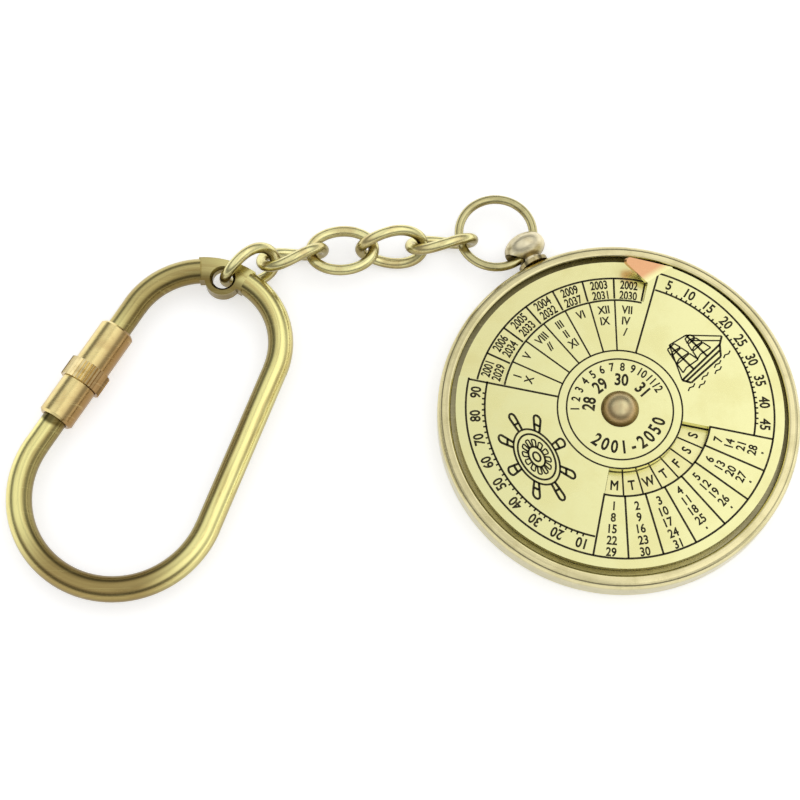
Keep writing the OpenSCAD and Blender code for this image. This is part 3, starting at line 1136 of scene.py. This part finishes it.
@dataclass(frozen=True)
class Boat:
    """A small two-masted boat, drawn in a unit of its own. Strokes are in millimetres on the dial.

    Attributes:
        size: Its unit in millimetres.
        turn: Direction of its bow in degrees.
        middle: Its middle on the dial.
        stern: Upper end of the stern.
        stern_foot: Lower end of the stern.
        bow_foot: Lower end of the bow.
        bow: Upper end of the bow.
        wale: Line along the hull's side.
        sprit: End of the bowsprit.
        stay: Line of the inner forestay.
        main_mast: The mast near the stern.
        fore_mast: The mast near the bow.
        wave: Outline of one wave.
        waves: Where the waves begin.
        hull_stroke: Width of the lines of the hull and masts.
        sail_stroke: Width of the lines of the sails, rigging and waves.
    """

    size: float = 0.88
    turn: float = 42.0
    middle: Point = (9.4, 6.9)
    stern: Point = (-3.7, -1.5)
    stern_foot: Point = (-3.0, -2.6)
    bow_foot: Point = (2.9, -2.6)
    bow: Point = (4.1, -1.2)
    wale: tuple[Point, Point] = ((-3.4, -2.0), (3.5, -1.85))
    sprit: Point = (5.2, -0.5)
    stay: tuple[Point, Point] = ((1.5, 1.9), (4.6, -0.9))
    main_mast: Mast = Mast(-1.3, -1.4, 3.5, (-0.9, 0.7, 2.1, 3.2), 1.5)
    fore_mast: Mast = Mast(1.5, -1.35, 3.0, (-0.8, 0.6, 1.8, 2.7), 1.3)
    wave: tuple[Point, ...] = ((0.0, 0.0), (0.5, 0.22), (1.0, 0.0), (1.5, 0.2))
    waves: tuple[Point, ...] = (
        (-4.2, -3.2), (-1.6, -3.3), (1.0, -3.2), (3.0, -3.05), (-2.8, -3.9), (0.4, -3.9))
    hull_stroke: float = 0.27
    sail_stroke: float = 0.19

    def draw(self, top: Printer) -> None:
        """Prints the boat.

        Args:
            top: Printer of the turning dial.
        """
        pattern = Pattern(polar(self.size, self.turn), polar(self.size, self.turn + 90), self.middle)
        masts = (self.main_mast, self.fore_mast)
        hull: list[Line] = [
            [self.stern, self.stern_foot], [self.stern_foot, self.bow_foot], [self.bow_foot, self.bow],
            [self.stern, self.bow], self.wale]
        poles: list[Line] = [[(mast.place, mast.foot), mast.top] for mast in masts]
        poles.append([self.bow, self.sprit])
        sails = [line for mast in masts for line in mast.sails()]
        rigging: list[Line] = [
            [self.fore_mast.top, self.sprit], self.stay, [self.main_mast.top, self.stern],
            [self.main_mast.top, self.fore_mast.top]]
        waves = [[(x + along, y + up) for along, up in self.wave] for x, y in self.waves]
        top.lines(hull + poles, self.hull_stroke, pattern=pattern)
        top.lines(sails + rigging + waves, self.sail_stroke, pattern=pattern)
        top.finish("boat_ornament_print")


@dataclass
class Calendar:
    """The two printed dials of the calendar, sizes in millimetres and degrees.

    Attributes:
        face: Height of the turning dial's face.
        base_face: Height of the fixed dial's face.
        rim_line: Radius of the print's outer circle.
        band_line: Radius of the inner line of the number bands.
        hub_lines: Radii of the two circles round the rivet.
        window_line: Radius of the line along the year window.
        window_end: Direction in which that line ends.
        month_end: Radius at which the lines between the months end.
        year_root: Radius at which the lines between the years begin, under the window's edge.
        year_line: Radius of the year ring's outer line.
        year_start: Direction in which the first year cell begins.
        weekday_root: Radius at which the lines between the weekdays begin.
        weekday_line: Radius of the weekday window's outer edge.
        date_line: Radius of the line along the weekday window.
        year_edge: Direction of the year window's left edge.
        top_edge: Direction of the line beside the year window.
        date_edge: Direction of the first date column's edge.
        last_edge: Direction of the last date column's edge.
        edge_turn: Turn of a line away from the edge that it follows.
        stroke: Width of the print's lines.
        thin_stroke: Width of its fine lines.
        first_year: First year of the ring.
        last_year: Last year of the ring.
        first_month: A month of the first column, whose first day gives a year its cell.
        leap_slant: Lean of the numerals for leap years.
        band_inset: Turn from the end of a number band to its first number.
        band_ticks: Ticks from one number to the next.
        tick: Length of a tick.
        dot_radius: Distance of the dots under the shorter date columns from the pivot.
        dot_turn: Half the arc of a dot.
        dot_width: Width of a dot.
        weight: How far the figures are fattened, in the font's own unit.
        year_figures: How the years are set.
        weekday_figures: How the weekdays are set.
        month_figures: How the months are set.
        date_figures: How the dates are set.
        band_figures: How the number bands are set.
        count_figures: How the numbers of the months are set.
        count_ends: Directions of the first and the last of them.
        length_figures: How the lengths of the months are set.
        length_ends: Directions of the first and the last of them.
        span_figures: How the span of years is set.
        span_ends: Directions of its first and its last figure.
        wheel: The ornament on the left.
        boat: The ornament on the right.
    """

    face: float = 5.26
    base_face: float = 4.0
    rim_line: float = 19.0
    band_line: float = 16.66
    hub_lines: tuple[float, float] = (6.57, 7.7)
    window_line: float = 14.5
    window_end: float = 76.9
    month_end: float = 14.45
    year_root: float = 14.2
    year_line: float = 18.0
    year_start: float = 167.0
    weekday_root: float = 7.8
    weekday_line: float = 11.1
    date_line: float = 11.22
    year_edge: float = 167.5
    top_edge: float = 72.9
    date_edge: float = 258.0
    last_edge: float = 348.0
    edge_turn: float = 0.6
    stroke: float = 0.25
    thin_stroke: float = 0.21
    first_year: int = 2001
    last_year: int = 2050
    first_month: int = 10
    leap_slant: float = 0.35
    band_inset: float = 5.5
    band_ticks: int = 4
    tick: float = 0.38
    dot_radius: float = 18.1
    dot_turn: float = 0.35
    dot_width: float = 0.3
    weight: float = 0.03
    year_figures: Figures = Figures(17.15, 1.22, squeeze=0.7, row_step=-1.42)
    weekday_figures: Figures = Figures(9.5, 1.3, Facing.INWARD)
    month_figures: Figures = Figures(13.25, 1.12, squeeze=0.85, row_step=-1.5)
    date_figures: Figures = Figures(12.5, 1.16, Facing.INWARD, 0.85, 1.44)
    band_figures: Figures = Figures(17.88, 1.36, squeeze=0.86)
    count_figures: Figures = Figures(5.55, 1.15)
    count_ends: Span = (180.0, 30.0)
    length_figures: Figures = Figures(3.85, 1.65)
    length_ends: Span = (170.0, 42.0)
    span_figures: Figures = Figures(4.95, 1.75, Facing.INWARD, 0.78)
    span_ends: Span = (233.0, 341.0)
    wheel: Wheel = Wheel()
    boat: Boat = Boat()

    @property
    def cell(self) -> float:
        """Gives the arc of one cell, of which seven fill a quarter."""
        return 360.0 / CELLS

    def build(self, strokes: Recipe, ink: bpy.types.Material) -> None:
        """Prints both dials.

        Args:
            strokes: The stroke tree.
            ink: Material of the print.
        """
        lettering = Lettering(self.weight)
        top = Printer(self.face, "turning_dial", ink, strokes, lettering)
        base = Printer(self.base_face, "case", ink, strokes, lettering)
        self.year_ring(base)
        self.weekday_ring(base)
        self.frame_lines(top)
        self.months(top)
        self.dates(top)
        self.number_bands(top)
        self.hub(top)
        self.wheel.draw(top)
        self.boat.draw(top)

    def years_by_cell(self) -> list[list[int]]:
        """Sorts the years into cells of two, so that month, year and weekday agree.

        Returns:
            The years of each cell, clockwise from the window's left edge.
        """
        cells: list[list[int]] = [[] for _ in range(CELLS)]
        kinds: list[list[int]] = [[] for _ in range(DAYS)]
        for year in range(self.first_year, self.last_year + 1):
            kinds[-date(year, self.first_month, 1).weekday() % DAYS].append(year)
        rounds = CELLS // DAYS
        for kind, years in enumerate(kinds):
            for k, year in enumerate(years[:2 * rounds]):
                cells[kind + DAYS * (k % rounds)].append(year)
        return cells

    def year_ring(self, base: Printer) -> None:
        """Prints the ring of years on the fixed dial.

        Args:
            base: Printer of the fixed dial.
        """
        base.lines([circle(self.year_line)], self.stroke, closed=True)
        base.lines([[(self.year_root, 0.0), (self.year_line, 0.0)]], self.stroke, CELLS,
                   self.year_start, -self.cell)
        for k, years in enumerate(self.years_by_cell()):
            angle = self.year_start - (k + 0.5) * self.cell
            for row, year in enumerate(years):
                base.label(Label(str(year), angle, self.year_figures, row))
        base.finish("year_ring_print")

    def weekday_ring(self, base: Printer) -> None:
        """Prints the ring of weekday initials on the fixed dial.

        Args:
            base: Printer of the fixed dial.
        """
        base.lines([[(self.weekday_root, 0.0), (self.weekday_line, 0.0)]], self.thin_stroke, CELLS,
                   self.date_edge, self.cell)
        for k in range(CELLS):
            angle = self.date_edge + (k + 0.5) * self.cell
            base.label(Label("MTWTFSS"[k % DAYS], angle, self.weekday_figures))
        base.finish("weekday_ring_print")

    def frame_lines(self, top: Printer) -> None:
        """Prints the lines that part the turning dial.

        Args:
            top: Printer of the turning dial.
        """
        hub = self.hub_lines[1]
        top.lines([circle(radius) for radius in self.hub_lines], self.thin_stroke, closed=True)
        top.lines([arc(self.rim_line, self.year_edge, self.top_edge + 360)], self.stroke)
        edges = (
            (self.year_edge + self.edge_turn, hub),
            (self.top_edge, hub),
            (self.date_edge, self.weekday_line),
            (self.last_edge, self.weekday_line))
        top.lines([[polar(inner, angle), polar(self.rim_line, angle)] for angle, inner in edges],
                  self.stroke)
        top.lines([arc(self.date_line, self.date_edge, self.last_edge)], self.stroke)
        top.lines([[(self.weekday_line, 0.0), (self.rim_line, 0.0)]], self.stroke, DAYS - 1,
                  self.date_edge + self.cell, self.cell)
        top.lines([[(hub, 0.0), (self.month_end, 0.0)]], self.thin_stroke, DAYS - 1,
                  self.year_edge - self.cell, -self.cell)
        top.lines([arc(self.window_line, self.year_edge, self.window_end)], self.stroke)
        top.finish("dial_lines_print")

    def months(self, top: Printer) -> None:
        """Prints the months as numerals, the leap year's first two with a slant.

        Args:
            top: Printer of the turning dial.
        """
        columns = (("I", "X"), ("V",), ("VIII", "/II"), ("III", "II", "XI"), ("VI",), ("XII", "IX"),
                   ("VII", "IV", "/I"))
        for k, column in enumerate(columns):
            angle = self.year_edge - (k + 0.5) * self.cell
            for row, numeral in enumerate(column):
                slant = self.leap_slant if numeral[0] == "/" else 0.0
                top.label(Label(numeral.lstrip("/"), angle, self.month_figures, row, slant))
        top.finish("month_numerals_print")

    def dates(self, top: Printer) -> None:
        """Prints the seven columns of dates, with a dot under the shorter ones.

        Args:
            top: Printer of the turning dial.
        """
        for column in range(DAYS):
            angle = self.date_edge + (column + 0.5) * self.cell
            dates = range(column + 1, 32, DAYS)
            for row, day in enumerate(dates):
                top.label(Label(str(day), angle, self.date_figures, row))
            if len(dates) == 4:
                dot = [polar(self.dot_radius, angle + turn) for turn in (-self.dot_turn, self.dot_turn)]
                top.lines([dot], self.dot_width)
        top.finish("date_columns_print")

    def number_bands(self, top: Printer) -> None:
        """Prints the two bands of round numbers.

        Args:
            top: Printer of the turning dial.
        """
        bands = (
            (self.date_edge, self.year_edge, [str(n) for n in range(10, 100, 10)]),
            (self.top_edge, self.last_edge - 360, [str(n) for n in range(5, 50, 5)]))
        for start, end, numbers in bands:
            way = math.copysign(1.0, end - start)
            top.lines([arc(self.band_line, start + way * self.edge_turn, end)], self.stroke)
            first, last = start + way * self.band_inset, end - way * self.band_inset
            top.row(numbers, (first, last), self.band_figures)
            steps = self.band_ticks * (len(numbers) - 1)
            top.lines([[(self.band_line, 0.0), (self.band_line + self.tick, 0.0)]], self.thin_stroke,
                      steps + 1, first, (last - first) / steps)
        top.finish("number_bands_print")

    def hub(self, top: Printer) -> None:
        """Prints the figures round the rivet.

        Args:
            top: Printer of the turning dial.
        """
        top.row([str(n) for n in range(1, 13)], self.count_ends, self.count_figures)
        top.row(["28", "29", "30", "31"], self.length_ends, self.length_figures)
        top.row(list(f"{self.first_year}-{self.last_year}"), self.span_ends, self.span_figures)
        top.finish("hub_figures_print")


@dataclass(frozen=True)
class Link:
    """One link of the chain.

    Attributes:
        node: Node that it takes the place of.
        body: Body that it is.
        hook: Joint at its end towards the shackle.
        length: Outer length in millimetres.
        heading: Direction in degrees.
        left_twist: Twist of its end towards the shackle, in degrees.
        right_twist: Twist of its end towards the calendar, in degrees.
    """

    node: str
    body: str
    hook: str
    length: float
    heading: float
    left_twist: float
    right_twist: float


@dataclass
class Chain:
    """The twisted wire links.

    Attributes:
        wire: Wire diameter in millimetres.
        width: Outer width of a link, untwisted, in millimetres.
        links: The links, from the calendar to the shackle.
    """

    wire: float = 1.4
    width: float = 6.8
    links: tuple[Link, ...] = (
        Link("chain_link_1", "link_1", "link_2_swing", 9.5, 6.0, -45.0, -80.0),
        Link("chain_link_2", "link_2", "link_3_swing", 9.5, 4.0, 85.0, 45.0),
        Link("chain_link_3", "link_3", "link_4_swing", 9.5, 4.0, 0.0, 0.0),
        Link("chain_link_4", "link_4", "eye_link_swing", 9.5, 12.0, -35.0, -85.0),
        Link("eye_link", "eye_link", "shackle_swing", 8.4, 28.0, 90.0, 50.0))

    def build(self, recipe: Recipe, finish: bpy.types.Material) -> None:
        """Makes the links.

        Args:
            recipe: The link tree.
            finish: Material of the wire.
        """
        for link in self.links:
            half = (link.length - self.wire) / 2
            mesh = recipe.mesh(bpy.data.meshes.new("loop"), {
                "Half Length": half, "Half Width": (self.width - self.wire) / 2,
                "Left Twist": math.radians(link.left_twist), "Right Twist": math.radians(link.right_twist),
                "Wire Radius": self.wire / 2, "Material": finish})
            turn = Matrix.Rotation(math.radians(link.heading), 4, "Z")
            hook = Matrix.Translation(joint(link.hook)["pos_m"])
            mesh.transform(hook @ turn @ Matrix.Scale(MM, 4) @ Matrix.Translation((half, 0.0, 0.0)))
            piece = deliver(f"wire_{link.node}", mesh, link.body)
            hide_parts(link.node)


@dataclass
class Solids:
    """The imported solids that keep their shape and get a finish.

    Attributes:
        finishes: The finish of each group of nodes.
    """

    finishes: dict[BrassFinish, tuple[str, ...]]

    def dress(self) -> None:
        """Gives each node its finish."""
        for finish, nodes in self.finishes.items():
            material = finish.material()
            for node in nodes:
                mesh = frame["nodes"][node].data
                mesh.materials.clear()
                mesh.materials.append(material)
                LOG.info("%s has the finish %s", node, finish.name)


# DARK_OLIVE is painted shade: in the case's recess, on the collar's lower part and at the sleeve's lower
# end on the rod.
DARK_OLIVE: Colour = (0.07, 0.05, 0.012)
TONED: Colour = (0.36, 0.27, 0.085)
# BROWN is painted shade on the lower and inner sides of the rod, ring, chain wire and pendant ball.
BROWN: Colour = (0.15, 0.10, 0.024)
STAIN: Colour = (0.27, 0.18, 0.06)
# Painted shade on the case's side wall, darker towards the bottom.
SIDE_WALL_SHADE: Colour = (0.36, 0.33, 0.19)
# DARK_COPPER is painted shade on the lower and inner sides of the sleeve and knurled band.
DARK_COPPER: Colour = (0.28, 0.15, 0.05)
COPPER: Colour = (0.76, 0.41, 0.21)
# Painted shade on the rivet's dome, darker towards its foot and darkest near the dial.
BRONZE_SHADE: Colour = (0.46, 0.30, 0.13)
BRONZE_DEEP_SHADE: Colour = (0.13, 0.07, 0.02)
WHITE: Colour = (1.0, 1.0, 1.0)
PALE_GREY: Colour = (0.9, 0.9, 0.9)

DIAL_BRASS = BrassFinish(
    "dial_brass", metal=(0.89, 0.865, 0.44), tarnish=(0.80, 0.73, 0.30), roughness=0.22,
    grain=Grain.POLISHED, patina=0.35, blotch=6.0, scratch=0.15, relief=0.05,
    zones=(Zone(Measure.HEIGHT, 5.3, 5.75, COPPER),))
BASE_BRASS = BrassFinish(
    "base_dial_brass", metal=(0.89, 0.845, 0.42), tarnish=(0.76, 0.68, 0.28), roughness=0.24,
    grain=Grain.POLISHED, patina=0.4, blotch=4.0, scratch=0.4, relief=0.06,
    # Painted shade: the base dial's edge darker in the groove, heaviest towards the upper right.
    zones=(Zone(Measure.RADIUS, 20.2, 20.3, DARK_OLIVE, 0.5, bearing=60.0),))
CASE_BRASS = BrassFinish(
    "case_brass", metal=(0.81, 0.73, 0.41), tarnish=(0.46, 0.40, 0.17), roughness=0.17,
    grain=Grain.POLISHED, patina=0.35, blotch=3.5, scratch=0.5, relief=0.12,
    # Painted shade: the recess wall darker, heaviest towards the upper right.
    zones=(Zone(Measure.RADIUS, 20.95, 20.84, DARK_OLIVE, 0.92, bearing=60.0),
           # Painted shade: the case's side wall darker towards the bottom.
           Zone(Measure.HEIGHT, 4.5, 3.5, SIDE_WALL_SHADE, 0.6)))
WASHER_BRASS = BrassFinish(
    "washer_brass", metal=(0.60, 0.50, 0.22), tarnish=TONED, roughness=0.38, grain=Grain.DRAWN)
RIVET_BRONZE = BrassFinish(
    "rivet_bronze", metal=(0.70, 0.61, 0.34), tarnish=(0.46, 0.29, 0.14), roughness=0.28,
    grain=Grain.HAMMERED, patina=0.35, blotch=1.2, scratch=0.5, relief=0.25,
    # Painted shade: the rivet's dome darker towards its foot.
    zones=(Zone(Measure.HEIGHT, 7.0, 6.3, BRONZE_SHADE, 0.8),
           Zone(Measure.HEIGHT, 6.2, 5.4, BRONZE_DEEP_SHADE, 0.9)))
COLLAR_BRASS = BrassFinish(
    "collar_brass", metal=(0.52, 0.43, 0.22), tarnish=(0.10, 0.07, 0.02), roughness=0.16,
    grain=Grain.POLISHED, patina=0.7, blotch=1.6, scratch=0.5, relief=0.15,
    # Painted shade: the collar darker towards its lower part.
    zones=(Zone(Measure.HEIGHT, 4.2, 3.0, DARK_OLIVE, 0.8),))
PENDANT_BRASS = BrassFinish(
    "pendant_brass", metal=(0.88, 0.80, 0.55), tarnish=(0.42, 0.32, 0.13), roughness=0.33,
    grain=Grain.POLISHED, patina=0.35, blotch=2.0, scratch=0.5, relief=0.15,
    # Painted shade: the pendant ball darker towards its underside.
    zones=(Zone(Measure.HEIGHT, 4.3, 2.6, BROWN, 0.8),))
RING_BRASS = BrassFinish(
    "ring_brass", metal=(0.64, 0.58, 0.29), tarnish=(0.36, 0.29, 0.11), roughness=0.2,
    grain=Grain.DRAWN, patina=0.4, blotch=2.4, scratch=0.3, relief=0.2,
    # Painted shade: the ring darker on its lower side.
    zones=(Zone(Measure.HEIGHT, 3.28, 2.9, BROWN, 0.75),))
CHAIN_BRASS = BrassFinish(
    "chain_brass", metal=(0.91, 0.85, 0.42), tarnish=(0.54, 0.34, 0.13), roughness=0.22,
    grain=Grain.DRAWN, patina=0.45, blotch=2.4, scratch=0.3, relief=0.2,
    # Painted shade: the wire darker where its surface faces away from up.
    zones=(Zone(Measure.UPWARD, 0.8, 0.25, BROWN, 0.78),))
ROD_BRASS = BrassFinish(
    "rod_brass", metal=(0.94, 0.87, 0.37), tarnish=(0.46, 0.30, 0.09), roughness=0.2,
    grain=Grain.STREAKED, patina=0.6, blotch=6.0, scratch=0.2, relief=0.2,
    zones=(Zone(Measure.RADIUS, 12.0, 4.0, STAIN, 0.6, middle=(-57.0, 17.0)),
           Zone(Measure.RADIUS, 14.0, 5.0, STAIN, 0.85, middle=(-64.0, -22.5)),
           # Painted shadow: a dark ring on the rod at the sleeve's lower end.
           Zone(Measure.RADIUS, 2.7, 2.2, DARK_OLIVE, 0.9, middle=(-69.2, 0.45)),
           # Painted shade: the rod darker on its lower sides and on the loop's inner side.
           Zone(Measure.HEIGHT, 4.35, 3.7, BROWN, 0.6),
           Zone(Measure.INWARD, 0.0, 1.1, BROWN, 0.75)))
SLEEVE_BRASS = BrassFinish(
    "sleeve_brass", metal=(0.88, 0.73, 0.33), tarnish=(0.58, 0.38, 0.15), roughness=0.2,
    grain=Grain.TURNED, patina=0.4, blotch=2.2, scratch=0.5, relief=0.25,
    # Painted shade: the sleeve darker on its lower and inner sides.
    zones=(Zone(Measure.HEIGHT, 5.1, 4.2, DARK_COPPER, 0.5),
           Zone(Measure.INWARD, 0.1, 1.8, DARK_COPPER, 0.8)))
KNURL_BRASS = BrassFinish(
    "knurl_brass", metal=(0.88, 0.73, 0.39), tarnish=(0.44, 0.30, 0.11), roughness=0.22,
    grain=Grain.DRAWN, patina=0.45, blotch=1.4, scratch=0.5, relief=0.2,
    # Painted shade: the knurled band darker on its lower and inner sides.
    zones=(Zone(Measure.HEIGHT, 5.5, 4.3, DARK_COPPER, 0.5),
           Zone(Measure.INWARD, 0.1, 2.2, DARK_COPPER, 0.8)))


@dataclass
class Studio:
    """Camera, floor and soft light, sizes in metres.

    Edges are the parts of a ray's direction, rightwards or upwards, between which a light comes in.

    Attributes:
        eye: Where the camera stands.
        target: What it looks at.
        lens: Focal length in millimetres.
        sensor: Width of the sensor in millimetres.
        clip: Nearest and farthest distance that is seen.
        floor_half: Half the side of the floor.
        floor_level: Height of the floor under the case.
        floor_glow: Light that the floor adds to what is seen of it.
        overhead: Light from the soft box above.
        box_edges: Upward edges of the box.
        right_glow: More light from its right side.
        right_edges: Rightward edges of that side.
        left_glow: More light from its left side.
        left_edges: Rightward edges of that side.
        surround: Light from the dim room below the box.
        right_fill: More light from the right side of the room.
        fill_edges: Rightward edges of that side.
        backdrop: Light from the pale backdrop at the horizon.
        backdrop_edges: Upward edges of the backdrop.
    """

    eye: tuple[float, float, float] = (-0.027096, -0.075412, 0.220302)
    target: tuple[float, float, float] = (-0.027096, 0.003028, 0.0)
    lens: float = 83.25
    sensor: float = 36.0
    clip: Span = (0.005, 10.0)
    floor_half: float = 1.5
    floor_level: float = -0.00005
    floor_glow: float = 0.5
    overhead: float = 0.66
    box_edges: Span = (0.52, 0.8)
    right_glow: float = 0.54
    right_edges: Span = (0.0, 0.2)
    left_glow: float = 0.26
    left_edges: Span = (0.0, -0.14)
    surround: float = 0.2
    right_fill: float = 0.35
    fill_edges: Span = (0.55, 0.85)
    backdrop: float = 1.0
    backdrop_edges: Span = (0.3, 0.16)

    def build(self) -> None:
        """Sets up the view, the floor and the light."""
        bpy.context.scene.view_settings.view_transform = "Standard"
        self.camera()
        self.floor()
        self.sky()
        LOG.info("studio is set")

    def camera(self) -> None:
        """Puts the camera at the photograph's view."""
        data = bpy.data.cameras.new("camera")
        data.lens = self.lens
        data.sensor_width = self.sensor
        data.clip_start, data.clip_end = self.clip
        camera = new_object("camera", data)
        camera.location = self.eye
        look = Vector(self.target) - Vector(self.eye)
        camera.rotation_euler = look.to_track_quat("-Z", "Y").to_euler()
        bpy.context.scene.camera = camera

    def floor(self) -> None:
        """Lays a white floor that keeps the shadow."""
        half = self.floor_half
        corners = ((-half, -half), (half, -half), (half, half), (-half, half))
        mesh = bpy.data.meshes.new("floor")
        mesh.from_pydata([(x, y, self.floor_level) for x, y in corners], [], [(0, 1, 2, 3)])
        material, graph = new_material("white_floor")
        matt = graph.out("ShaderNodeBsdfDiffuse", sockets={"Color": rgba(PALE_GREY)})
        glow = graph.out("ShaderNodeEmission", sockets={"Strength": self.seen(graph) * self.floor_glow})
        both = graph.out("ShaderNodeAddShader", sockets={0: matt, 1: glow})
        graph.node("ShaderNodeOutputMaterial", sockets={"Surface": both})
        mesh.materials.append(material)
        floor = new_object("floor", mesh)

    def seen(self, graph: Graph) -> Field:
        """Marks what the camera sees, also by reflection or through another piece.

        Args:
            graph: The floor's graph.

        Returns:
            1 on such rays and 0 on others.
        """
        path = graph.node("ShaderNodeLightPath")
        rays = [Field(graph, path.outputs[name])
                for name in ("Is Camera Ray", "Is Glossy Ray", "Is Transmission Ray")]
        return graph.math("MINIMUM", rays[0] + rays[1] + rays[2], 1.0)

    def sky(self) -> None:
        """Makes a soft box above, a dim room round it and a pale backdrop at the horizon."""
        world = bpy.data.worlds.new("studio_sky")
        world.use_nodes = True
        graph = Graph(world.node_tree)
        x, _, z = graph.parts(graph.out("ShaderNodeTexCoord", output="Generated"))
        right = self.right_glow * graph.step(x, *self.right_edges)
        left = self.left_glow * graph.step(x, *self.left_edges)
        box = graph.step(z, *self.box_edges) * (self.overhead - self.surround + (right + left))
        wall = graph.step(z, *self.backdrop_edges) * (self.backdrop - self.surround)
        fill = graph.step(x, *self.fill_edges) * self.right_fill
        light = graph.out("ShaderNodeBackground", sockets={
            "Color": rgba(WHITE), "Strength": self.surround + box + wall + fill})
        graph.node("ShaderNodeOutputWorld", sockets={"Surface": light})
        bpy.context.scene.world = world


def main() -> None:
    """Builds the studio and the pieces in order."""
    logging.basicConfig(level=logging.INFO, format="%(name)s: %(message)s")
    Studio().build()
    Solids({
        CASE_BRASS: ("case",), BASE_BRASS: ("base_dial",), WASHER_BRASS: ("friction_washer",),
        DIAL_BRASS: ("top_dial",), RIVET_BRONZE: ("pivot_rivet",), COLLAR_BRASS: ("pendant_collar",),
        PENDANT_BRASS: ("pendant_ball",), RING_BRASS: ("bow_ring",), ROD_BRASS: ("shackle_rod",),
        SLEEVE_BRASS: ("sleeve_barrel",), KNURL_BRASS: ("knurled_band",)}).dress()
    Chain().build(link_recipe(), CHAIN_BRASS.material())
    Calendar().build(stroke_recipe(), InkFinish().material())


if __name__ == "__main__":
    main()
